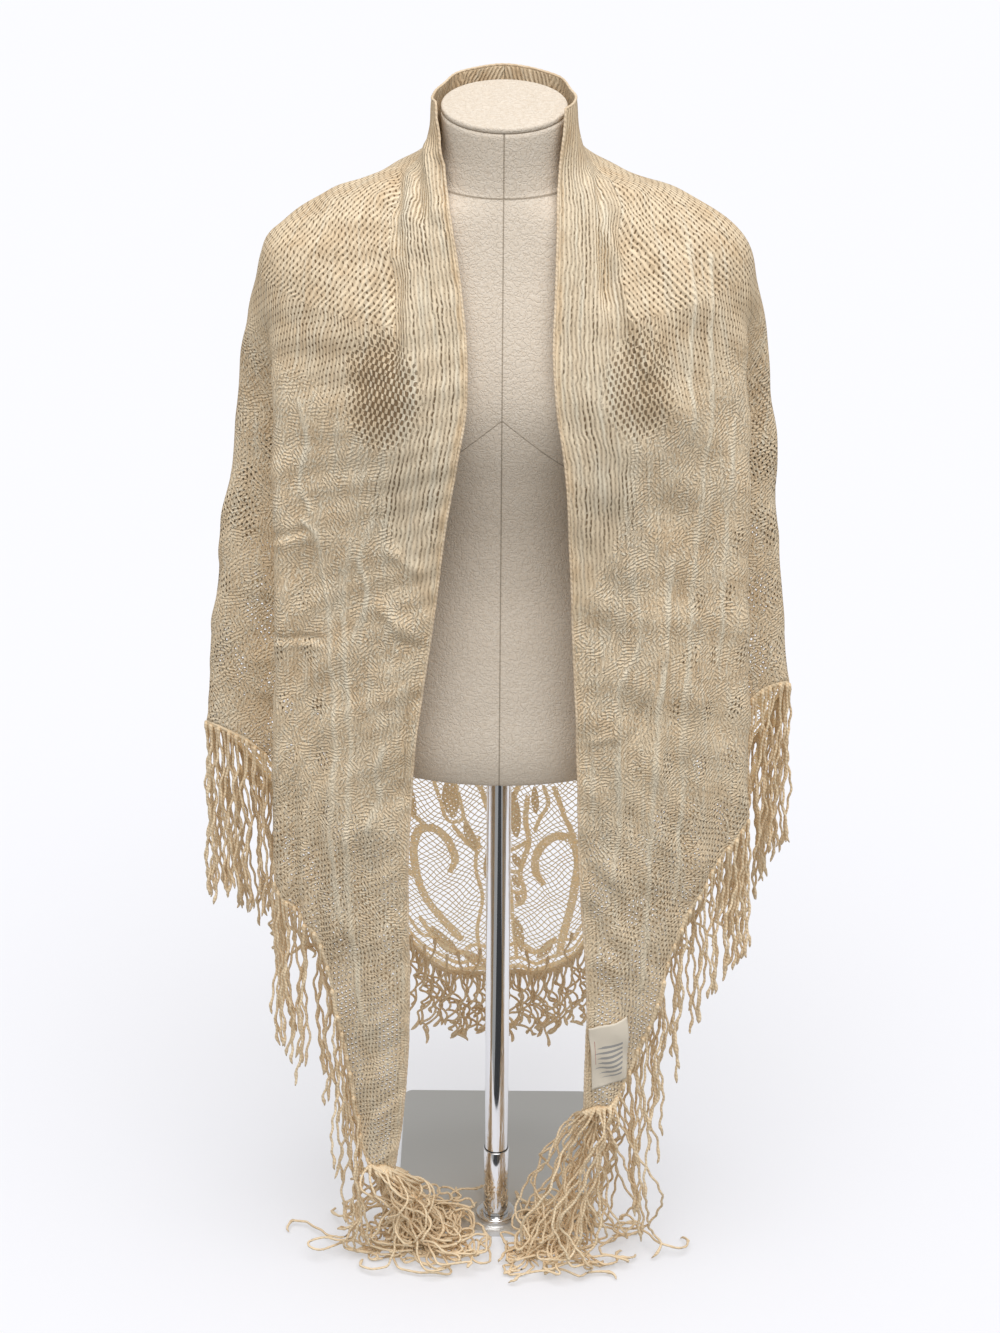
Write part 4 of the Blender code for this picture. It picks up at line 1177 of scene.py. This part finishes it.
# Bands along the hem: how far up from it, half width, height of the scallops.
HEM_BANDS = ((0.005, 0.0030, 0.005), (0.014, 0.0022, 0.007), (0.028, 0.0022, 0.012))
SCALLOP = 0.046
MOTIF_FOOT = (0.05, 1.02)
PETALS = {  # run and drop at its foot and its tip, half width
    -1: (
        (0.052, 0.862, 0.060, 0.812, 0.0100),
        (0.026, 0.906, 0.039, 0.872, 0.0055),
        (0.004, 0.846, 0.014, 0.766, 0.0080),
        (0.010, 0.905, 0.014, 0.945, 0.0050),
        (0.096, 0.862, 0.118, 0.806, 0.0085),
        (0.100, 0.776, 0.112, 0.722, 0.0080),
        (0.030, 0.740, 0.048, 0.716, 0.0070),
        (0.080, 1.002, 0.048, 1.040, 0.0075),
        (0.042, 1.036, 0.014, 1.060, 0.0060),
    ),
    1: (
        (0.020, 0.894, 0.015, 0.836, 0.0070),
        (0.042, 0.860, 0.040, 0.826, 0.0045),
        (0.017, 0.916, 0.025, 0.932, 0.0050),
        (0.017, 0.943, 0.023, 0.958, 0.0045),
        (0.020, 0.966, 0.025, 0.978, 0.0035),
        (0.098, 0.866, 0.120, 0.806, 0.0085),
        (0.100, 0.776, 0.112, 0.722, 0.0080),
        (0.030, 0.740, 0.048, 0.716, 0.0070),
        (0.020, 0.996, 0.028, 1.040, 0.0060),
        (0.048, 1.044, 0.068, 1.016, 0.0055),
    ),
}
REPEATS = (  # run and drop that a repeat is moved by, and its size
    (0.0, 0.0, 1.0),
    (0.125, -0.085, 0.86),
    (0.235, -0.190, 0.74),
)


def repeat(points, move_run, move_drop, size, hand):
    """A drawn motif moved along the border: shrunk about its foot, then shifted and mirrored."""
    foot = np.array(MOTIF_FOOT)
    moved = foot + (np.array(points, float) - foot) * size + (move_run, move_drop)
    return moved * (hand, 1)


def tape_rings(line, half_width, lift):
    """A flat tape on the cloth: six points across it, carried along its middle line, whose width
    swells from both ends as the square root of a sine."""
    ahead = unit(np.gradient(line, axis=0))
    beside = np.stack([-ahead[:, 1], ahead[:, 0]], -1)
    share = np.linspace(0, 1, len(line))
    width = half_width * np.clip(np.sin(math.pi * (0.06 + 0.88 * share)) * 3, 0, 1) ** 0.5
    across = np.array([-1, -0.6, 0.6, 1, 0.6, -0.6])
    deep = np.array([0, -0.5, -0.5, 0, 0.5, 0.5]) * TAPE_THICK
    spot = line[:, None] + beside[:, None] * (across * width[:, None])[..., None]
    middle, out = on_back(spot[..., 0], spot[..., 1])
    return middle + out * (lift + deep)[None, :, None]


def shifted(faces, by):
    """Faces whose points come after that many others."""
    return [[corner + by for corner in face] for face in faces]


tape_lines = []
for move_run, move_drop, size in REPEATS:
    for hand in (-1, 1):
        for half_width, points in TAPES[hand] + OUTER_TAPES:
            line = repeat(points, move_run, move_drop, size, hand)
            tape_lines.append((half_width * size ** 0.5, smooth_line(line)))
for hand in (-1, 1):
    tape_lines.append((STEM_HALF, smooth_line(np.array(STEM) * (hand, 1))))
arch_turn = np.linspace(-NET_HALF, NET_HALF, 60)
arch = np.stack([around_at(arch_turn, net_top(arch_turn)), net_top(arch_turn)], -1)
tape_lines.append((ARCH_HALF, smooth_line(arch)))
fine_turn = np.linspace(-NET_HALF, NET_HALF, 400)
for depth, half_width, wave in HEM_BANDS:
    down = hem_drop(fine_turn) - depth
    edge = around_at(fine_turn, down)
    down = down - wave * np.abs(np.sin(edge * math.pi / SCALLOP))
    tape_lines.append((half_width, smooth_line(np.stack([edge, down], -1)[::4], 0.004)))

tape_points, tape_faces, count = [], [], 0
for number, (half_width, line) in enumerate(tape_lines):
    rings = tape_rings(line, half_width, TAPE_LIFT + TAPE_LAYER * (number % TAPE_LAYERS))
    points, faces = closed_rings(rings)
    tape_points.append(points)
    tape_faces += shifted(faces, count)
    count += len(points)
# Painted glow of light shining through the tapes and petals from behind.
BACKLIGHT_GLOW = {"Emission Color": (0.95, 0.66, 0.35, 1), "Emission Strength": 0.15}  # light from behind
tape_yarn = Finish("tape_knit", {"Sheen Weight": 0.25, "Specular IOR Level": 0.25} | BACKLIGHT_GLOW)
tape_place = tape_yarn.place()
tape_patch = tape_yarn.noise(tape_place, 60, 2.0)
tape_loops = tape_yarn.noise(tape_yarn.stretched(tape_place, (420, 420, 700)), 1.0, 1.0)
# Painted shade where the loops lie low; both colours are painted paler than the knit's yarn for the light
# through the tapes from behind.
tape_share = (tape_patch.between(0.35, 0.7) * 0.6 + tape_loops.between(0.55, 0.35) * 0.45).between(0, 1)
tape_yarn.feed(
    base_color=tape_yarn.mix(tape_share, (1.0, 0.92, 0.74, 1), (0.95, 0.78, 0.52, 1)),
    roughness=tape_loops * 0.2 + 0.7,
)
tape_yarn.feed(alpha=1 - (tape_loops > 0.58))
tape_yarn.relief(tape_loops, 0.0011)
tapes = add_piece("lace_tapes", np.concatenate(tape_points), tape_faces, tape_yarn)
fasten(tapes, "lace", "shawl_back")

petal_points, petal_faces, petal_turns, petal_drops, count = [], [], [], [], 0
along_share = np.linspace(0, 1, PETAL_GRID[0])
across_share = np.linspace(1, -1, PETAL_GRID[1])
for move_run, move_drop, size in REPEATS:
    for hand in (-1, 1):
        for foot_run, foot_drop, tip_run, tip_drop, half_width in PETALS[hand]:
            ends = [(foot_run, foot_drop), (tip_run, tip_drop)]
            foot, tip = repeat(ends, move_run, move_drop, size, hand)
            way = tip - foot
            beside = np.array([-way[1], way[0]]) / np.linalg.norm(way)
            width = half_width * size * np.sin(math.pi * (0.03 + 0.94 * along_share)) ** 0.7
            spot = foot + along_share[:, None, None] * way
            spot = spot + (across_share[None, :] * width[:, None])[..., None] * beside
            middle, out = on_back(spot[..., 0], spot[..., 1])
            petal_points.append((middle + out * PETAL_LIFT).reshape(-1, 3))
            petal_faces += (grid_faces(*PETAL_GRID) + count).tolist()
            petal_turns.append(turn_at(spot[..., 0], spot[..., 1]).ravel())
            petal_drops.append(spot[..., 1].ravel())
            count += PETAL_GRID[0] * PETAL_GRID[1]
petal_turns, petal_drops = np.concatenate(petal_turns), np.concatenate(petal_drops)
petal_marks = {mark: np.zeros(count) for mark in ("net", "cord", "ladder", "lean")}
petal_marks |= {"patch": np.full(count, 0.9), "open": np.full(count, 0.60), "through": np.ones(count)}
petal_knit = knit_finish("petal_knit")
for socket, value in BACKLIGHT_GLOW.items():
    petal_knit.shader.inputs[socket].default_value = value
petals = add_piece(
    "lace_petals",
    np.concatenate(petal_points),
    petal_faces,
    petal_knit,
    flat_place(petal_turns, petal_drops),
    petal_marks,
)
thicken(petals, PETAL_THICK)
fasten(petals, "lace", "shawl_back")


# The selvedge
# The straight edge ends in a firm chain of yarn that runs up one front, round the neck and down the
# other front.

SELVEDGE = 0.00125
CHAIN_SWELL = 0.16  # the loops of the chain are thicker and thinner by this share
CHAIN_STEP = 2.4
EDGE_STEPS = 260
COLLAR_STEPS = 120
EDGE_SIDES = 6
edge_share = np.linspace(0, 1, EDGE_STEPS)
collar_turn = np.linspace(-1, 1, COLLAR_STEPS)[1:-1]
edge_turns = np.concatenate([np.full(EDGE_STEPS, -1.0), collar_turn, np.full(EDGE_STEPS, 1.0)])
edge_drops = np.concatenate(
    [edge_share[::-1] * hem_line(-1.0), 0 * collar_turn, edge_share * hem_line(1.0)]
)
chain = SELVEDGE * (1 + CHAIN_SWELL * np.sin(np.arange(len(edge_turns)) * CHAIN_STEP))
selvedge = add_piece(
    "selvedge",
    tubes(
        cloth(edge_turns, edge_drops)[None],
        chain[None],
        EDGE_SIDES,
        facing(cloth, edge_turns, edge_drops)[None],
    ),
    tube_faces(np.array([0]), len(edge_turns), EDGE_SIDES),
    yarn_finish("edge_yarn", (0.92, 0.77, 0.58, 1), (0.70, 0.53, 0.35, 1), 0.005),
)
fasten(selvedge, "lace")


# The fringe
# Soft crimped yarns of about 3 mm, drawn through both short edges and knotted at the edge and near
# their ends. Those at the two front points are longer and lie curled on the floor.

STRANDS = np.array([  # turn, length, heading on the floor as an angle from +X
    (-1.00, 0.260, 0.20),
    (-0.97, 0.250, -0.25),
    (-0.94, 0.225, -0.90),
    (-0.90, 0.210, -1.60),
    (-0.60, 0.200, -2.00),
    (-0.40, 0.195, 0.00),
    (-0.20, 0.105, 0.00),
    (0.00, 0.085, 0.00),
    (0.20, 0.105, 0.00),
    (0.40, 0.190, 0.00),
    (0.60, 0.190, -1.00),
    (0.90, 0.210, -1.60),
    (0.94, 0.250, -1.70),
    (0.97, 0.285, -2.20),
    (1.00, 0.310, -2.80),
])
FRINGE_RUNS = (  # name, first and last turn; then those added: turns, number, length, heading, steps
    ("left_front", -1.0, -0.645, (-1.0, -0.958), 46, 0.41, 0.45, 120),
    ("back", -0.60, 0.60, (-0.30, 0.30), 34, 0.095, 0.0, 44),
    ("right_front", 0.645, 1.0, (0.950, 1.0), 42, 0.43, 3.50, 120),
)
HEAP_FRONT = (-0.084, -0.126)  # most strands on the floor end near the first, some at the second
POLE_CLEAR = 0.026
STRAND_PITCH = 0.0050
STRAND_STACK = 0.15
STRAND_RADIUS = 0.00135
STRAND_STEPS = 60
STRAND_SIDES = 5
FLOOR_GAP = 0.001
SETTLE = 0.010  # how softly a strand bends onto the floor
SOFT = 0.008  # how softly it turns away from the middle and from the front line
ROUND = 6.28  # a whole wave
HEAPED_FROM = 0.93  # strands beyond this turn end in a heap
LIVELY = 4.2  # those behind stray this much more
LIVELY_TURN = 0.35
CURL = 1.75  # how far a strand on the floor swings to either side, as an angle
SMALL_CRIMP = 0.0009
SIDEWAYS = (0.83, 0.55, 0.02)  # a strand's first side faces this way
HEM_SAMPLES = 1500
PLATE_EDGE = (0.1105, 0.0315)  # beside and in front of the pole a strand lifts onto the plate here
PLATE_SLOPE = 0.004
HEM_BAND_HALF = 0.0030
ROOT_UP = 0.003
fringe_draw = np.random.default_rng(21)


def strand_paths(root, turn, length, heading, steps):
    """Middle lines of strands: each hangs, its height easing onto the floor, and what is left over
    runs on in slow curls. Crimps of two sizes sway it sideways on the way. Those of the heaps keep
    to their own side and behind a front line, and all stay clear of the pole and lie on the plate."""
    share = np.linspace(0, 1, steps + 1)
    along = share * length[:, None]
    draw = fringe_draw.uniform(0, 1, (len(root), 14)).T[..., None]
    curls, curl_from, swing, bend, long, long_from, short, short_from = draw[:8]
    crimp, lean_x, lean_y, rank, reach, forward = draw[8:]
    heaped = ease((np.abs(turn) - HEAPED_FROM) / 0.04)[:, None]

    # Down from the root, and what is left over runs on along the floor in curls.
    slack = 1 + heaped * reach * np.where(turn < 0, 0.8, 0.3)[:, None]
    lowest = STRAND_RADIUS + FLOOR_GAP
    over = root[:, 2:] - lowest - along / slack
    height = 0.5 * (over + np.sqrt(over**2 + SETTLE**2))
    height += root[:, 2:] - (height[:, :1] + lowest)
    height = np.maximum(height, 0.0) + lowest
    step = length[:, None] / steps
    level_step = np.sqrt(np.maximum(step**2 - np.diff(height, axis=1) ** 2, 0))
    laid = np.cumsum(level_step, 1)
    curl = CURL * np.sin(laid * (30 + 55 * curls) + ROUND * curl_from)
    bearing = heading[:, None] + (swing - 0.5) * 2.8 + curl + laid * 34 * (bend - 0.5)
    x = np.pad(np.cumsum(level_step * np.cos(bearing), 1), ((0, 0), (1, 0)))
    y = np.pad(np.cumsum(level_step * np.sin(bearing), 1), ((0, 0), (1, 0)))

    # Crimps of two sizes.
    lively = np.where(np.abs(turn) < LIVELY_TURN, LIVELY, 1.0)[:, None]
    grow = ease(along / 0.05)
    long_wave = ROUND * (along / (0.075 + 0.05 * long) + long_from)
    short_wave = ROUND * (along / (0.019 + 0.012 * short) + short_from)
    size = 0.0016 + 0.0022 * crimp
    x += lively * grow * (size * np.sin(long_wave) + SMALL_CRIMP * np.sin(short_wave))
    y += lively * grow * (size * np.cos(long_wave * 0.8) + SMALL_CRIMP * np.cos(short_wave))

    # A lean to one side, in the heaps towards the heading.
    loose = 0.10 * lively + 0.12 * heaped
    lean_x = (lean_x - 0.5) * loose + 0.07 * heaped * np.cos(heading)[:, None]
    lean_y = (lean_y - 0.5) * loose + 0.07 * heaped * np.sin(heading)[:, None]
    aside = along * share**0.5
    x, y = x + aside * lean_x + root[:, :1], y + aside * lean_y * 0.6 + root[:, 1:2]

    # The heaps keep to their own side, and all keep behind the front line and off the pole.
    inner = 0.035 * reach - 0.005
    hand = np.sign(turn)[:, None]
    x += heaped * grow * (hand * (inner + np.sqrt((hand * x - inner) ** 2 + SOFT**2)) - x)
    front = HEAP_FRONT[0] + (HEAP_FRONT[1] - HEAP_FRONT[0]) * forward**3
    y += grow * (front - y + np.sqrt((y - front) ** 2 + SOFT**2)) * (y < 0)
    away = np.hypot(x, y)
    clear = (away**4 + POLE_CLEAR**4) ** 0.25 / away
    x, y = x * clear, y * clear

    # Up onto the plate, and piled over each other.
    onto = ease((PLATE_EDGE[0] - np.abs(x)) / PLATE_SLOPE) * ease((y + PLATE_EDGE[1]) / PLATE_SLOPE)
    pile = (0.012 + 0.014 * heaped) * rank * ease((0.05 - height) / 0.05)
    pile = pile * np.sin(math.pi * share) ** 0.5
    height = height + np.maximum(onto * PLATE_TOP * (height < 0.03), 0) + pile
    return np.stack([x, y, height], -1)


fringe_yarn = yarn_finish("fringe_yarn", (0.99, 0.83, 0.60, 1), (0.82, 0.62, 0.395, 1), 0.0042)


def strands(turn, up, length, heading, steps):
    """Points and faces of strands knotted in a little way up from the hem, their knots thicker and
    their ends thin."""
    count = len(turn)
    length = length * fringe_draw.uniform(0.90, 1.03, count)
    root_drop = hem_drop(turn) - up
    root = cloth(turn, root_drop)
    root = root + facing(cloth, turn, root_drop) * (0.0013 * (-1.0) ** np.arange(count))[:, None]
    paths = strand_paths(root, turn, length, heading, steps)
    along = np.linspace(0, 1, steps + 1) * length[:, None]
    tip = length[:, None] * fringe_draw.uniform(0.93, 0.97, (count, 1))
    knots = np.exp(-(((along - 0.004) / 0.004) ** 2)) + 0.8 * np.exp(-(((along - tip) / 0.003) ** 2))
    crimp = 0.10 * np.sin(along * 900 + ROUND * fringe_draw.uniform(0, 1, (count, 1)))
    radii = STRAND_RADIUS * (1 + 0.75 * knots + crimp)
    radii[:, -1] *= 0.35
    level = np.broadcast_to(np.array(SIDEWAYS), paths.shape)
    firsts = np.arange(count) * (steps + 1) * STRAND_SIDES
    points = tubes(paths, radii, STRAND_SIDES, level).reshape(-1, 3)
    return points, tube_faces(firsts, steps + 1, STRAND_SIDES)


fringes = []
for side, first, last, more_turns, more, more_length, more_heading, more_steps in FRINGE_RUNS:
    hem_turns = np.linspace(first, last, HEM_SAMPLES)
    hem_points = cloth(hem_turns, hem_drop(hem_turns) - ROOT_UP)
    moves = np.diff(hem_points, axis=0)
    runs = np.hypot(moves[:, 0], moves[:, 1]) + STRAND_STACK * np.abs(moves[:, 2])
    runs = np.concatenate([[0], np.cumsum(runs)])
    count = round(runs[-1] / STRAND_PITCH)
    marks = (np.arange(count) + 0.5) * runs[-1] / count
    marks = marks + fringe_draw.uniform(-0.3, 0.3, count) * STRAND_PITCH
    turn = np.interp(np.clip(marks, 0, runs[-1]), runs, hem_turns)  # even steps along the hem
    length, heading = column(STRANDS, 1, turn), column(STRANDS, 2, turn)
    strand_points, strand_faces = strands(turn, ROOT_UP, length, heading, STRAND_STEPS)
    # More are knotted in: at the points into the edge, behind into the lace above it as well.
    up = fringe_draw.uniform(ROOT_UP, 0.040 if side == "back" else 0.004, more)
    more_points, more_faces = strands(
        np.linspace(*more_turns, more), up, more_length, np.full(more, more_heading), more_steps
    )
    strand_faces += shifted(more_faces, len(strand_points))
    strand_points = np.concatenate([strand_points, more_points])
    band_turns = np.linspace(first, last, 260 if side == "back" else 120)
    band_run = around_at(band_turns, hem_drop(band_turns))
    band_line = np.stack([band_run, hem_drop(band_turns) - ROOT_UP], -1)
    band_points, band_faces = closed_rings(tape_rings(band_line, HEM_BAND_HALF, 0.0))
    strand_faces += shifted(band_faces, len(strand_points))
    strand_points = np.concatenate([strand_points, band_points])
    fringes.append(add_piece(f"fringe_{side}_strands", strand_points, strand_faces, fringe_yarn))
    fasten(fringes[-1], "fringe", "fringe_" + side)


# The care label
# A satin ribbon, looped through the knit by its top corners near the right point, with rows of
# dark bars and a red one woven in.

LABEL_TURNS = (0.944, 0.998)
LABEL_DROPS = (0.946, 1.029)
LABEL_LEAN = 0.008
LABEL_RISE = 0.0031
LABEL_THICK = 0.0007
LABEL_GRID = (34, 24)
BAR_PITCH = 0.085  # these are shares of the ribbon's height and width
BARS_DOWN = (0.30, 0.86)
BARS_ACROSS = 0.16
RED_BAR = (0.86, 0.010, 0.22, 0.60)  # its middle, half width, top and bottom
u, v = np.meshgrid(np.linspace(0, 1, LABEL_GRID[1]), np.linspace(0, 1, LABEL_GRID[0]))
label_turn = LABEL_TURNS[0] + (LABEL_TURNS[1] - LABEL_TURNS[0]) * u - LABEL_LEAN * v
label_drop = LABEL_DROPS[0] + (LABEL_DROPS[1] - LABEL_DROPS[0]) * v
label_points = cloth(label_turn, label_drop)
label_out = facing(cloth, label_turn, label_drop)
curl = 0.0016 * np.abs(2 * u - 1) ** 3 * ease(v * 2) + 0.0012 * np.sin(v * 5)
label_points = label_points + label_out * (LABEL_RISE + curl)[..., None]
ribbon = Finish("label_ribbon", {"Sheen Weight": 0.3, "Specular IOR Level": 0.35})
ribbon_flat = ribbon.node("ShaderNodeUVMap", {"uv_map": "flat"})
bar_u, bar_v, _ = ribbon.split(ribbon_flat)
rows = (bar_v * (2 * math.pi / BAR_PITCH)).cosine() > 0.15
ends = ribbon.noise(ribbon.stretched(ribbon_flat, (0.01, 11.7, 1)), 3.1, 0.0)
bars = rows * ((bar_u > BARS_ACROSS) * (ends * 0.9 + 0.22 - bar_u > 0))
bars = bars * (bar_v > BARS_DOWN[0]) * (BARS_DOWN[1] - bar_v > 0)
red_at, red_half, red_top, red_foot = RED_BAR
red = (red_half - abs(bar_u - red_at) > 0) * (bar_v > red_top) * (red_foot - bar_v > 0)
weave = ribbon.noise(ribbon.stretched(ribbon_flat, (90, 500, 1)), 1.0, 1.0)
shade = ribbon.mix(weave.between(0.3, 0.8) * 0.35, (0.95, 0.87, 0.74, 1), (0.82, 0.72, 0.58, 1))
shade = ribbon.mix(bars * 0.62, shade, (0.12, 0.15, 0.22, 1))
shade = ribbon.mix(red * 0.7, shade, (0.50, 0.08, 0.06, 1))
ribbon.feed(base_color=shade, roughness=weave * 0.2 + 0.5)
ribbon.relief(weave, 0.0003)
label_faces = grid_faces(*LABEL_GRID).tolist()
label = add_piece("care_label_ribbon", label_points, label_faces, ribbon, np.stack([u, v], -1))
thicken(label, LABEL_THICK)
fasten(label, "label", "care_label")


# The floor, the lights and the camera
# A pale seamless floor, one very broad soft light from overhead and in front, and an even room.

FLOOR = (30.0, -30.0, 50.0, -0.0004)  # half width, nearest and furthest y, height
FLAG = (1.3, -2.6, -0.24, 0.001)
FLAG_BAND = (-0.12, 0.38)


def sheet_corners(half_width, near, far, z):
    """The corners of a level rectangle."""
    return [[(-half_width, near, z), (half_width, near, z)], [(-half_width, far, z), (half_width, far, z)]]


glow = {"Emission Color": (1.0, 1.0, 1.02, 1), "Emission Strength": 0.360}  # weakens its shadows
pale = Finish("pale_floor", {"Roughness": 0.9, "Specular IOR Level": 0.0} | glow)
faint = pale.noise(pale.place(), 0.8, 1.0)
pale.feed(base_color=pale.mix(faint * 0.03, (0.520, 0.530, 0.570, 1), (0.50, 0.51, 0.545, 1)))
floor = add_piece("floor", sheet_corners(*FLOOR), grid_faces(2, 2).tolist(), pale)
floor.visible_diffuse = False  # the pale floor throws no light up under the cloth

# A flag in front, out of the picture, that only the chrome shows: grey, with a dark band.
flag_cloth = Finish("grey_flag", {"Roughness": 1.0})
flag_x, _, _ = flag_cloth.split(flag_cloth.place())
band = (flag_x > FLAG_BAND[0]) * (FLAG_BAND[1] - flag_x > 0)
flag_cloth.feed(base_color=flag_cloth.mix(band, (0.30, 0.31, 0.32, 1), (0.02, 0.022, 0.025, 1)))
flag = add_piece("flag", sheet_corners(*FLAG), grid_faces(2, 2).tolist(), flag_cloth)
flag.visible_camera = flag.visible_diffuse = flag.visible_shadow = False

ROOM_LIGHT = ((1.0, 0.985, 0.955, 1), 0.42)  # colour, strength
SUN_COLOUR = (1.0, 0.985, 0.975)
SUN_STRENGTH = 2.55
SUN_WIDE = 60  # degrees; so wide a light has very soft shadows
SUN_TURNED = (20, 3, 0)
world = bpy.data.worlds.new("even room")
bpy.context.scene.world = world
world.use_nodes = True
room = world.node_tree.nodes["Background"]
room.inputs["Color"].default_value, room.inputs["Strength"].default_value = ROOM_LIGHT

light = bpy.data.lights.new("overhead", "SUN")
light.energy, light.angle, light.color = SUN_STRENGTH, math.radians(SUN_WIDE), SUN_COLOUR
lamp = bpy.data.objects.new("overhead", light)
lamp.rotation_euler = np.radians(SUN_TURNED)
bpy.context.scene.collection.objects.link(lamp)

CAMERA_AT = (0.0, -2.45, 1.82)
CAMERA_DOWN = 25.0
CAMERA_ROLL = 0.45
FOCUS_PIXELS = 2695
PHOTO_HEIGHT = 1333
SENSOR = 36.0
lens = bpy.data.cameras.new("camera")
lens.sensor_width = SENSOR
lens.lens = FOCUS_PIXELS / PHOTO_HEIGHT * SENSOR
camera = bpy.data.objects.new("camera", lens)
camera.location = CAMERA_AT
camera.rotation_mode = "ZYX"
camera.rotation_euler = (math.radians(90 - CAMERA_DOWN), 0, math.radians(CAMERA_ROLL))
bpy.context.scene.collection.objects.link(camera)
bpy.context.scene.camera = camera
bpy.context.scene.view_settings.view_transform = "Standard"
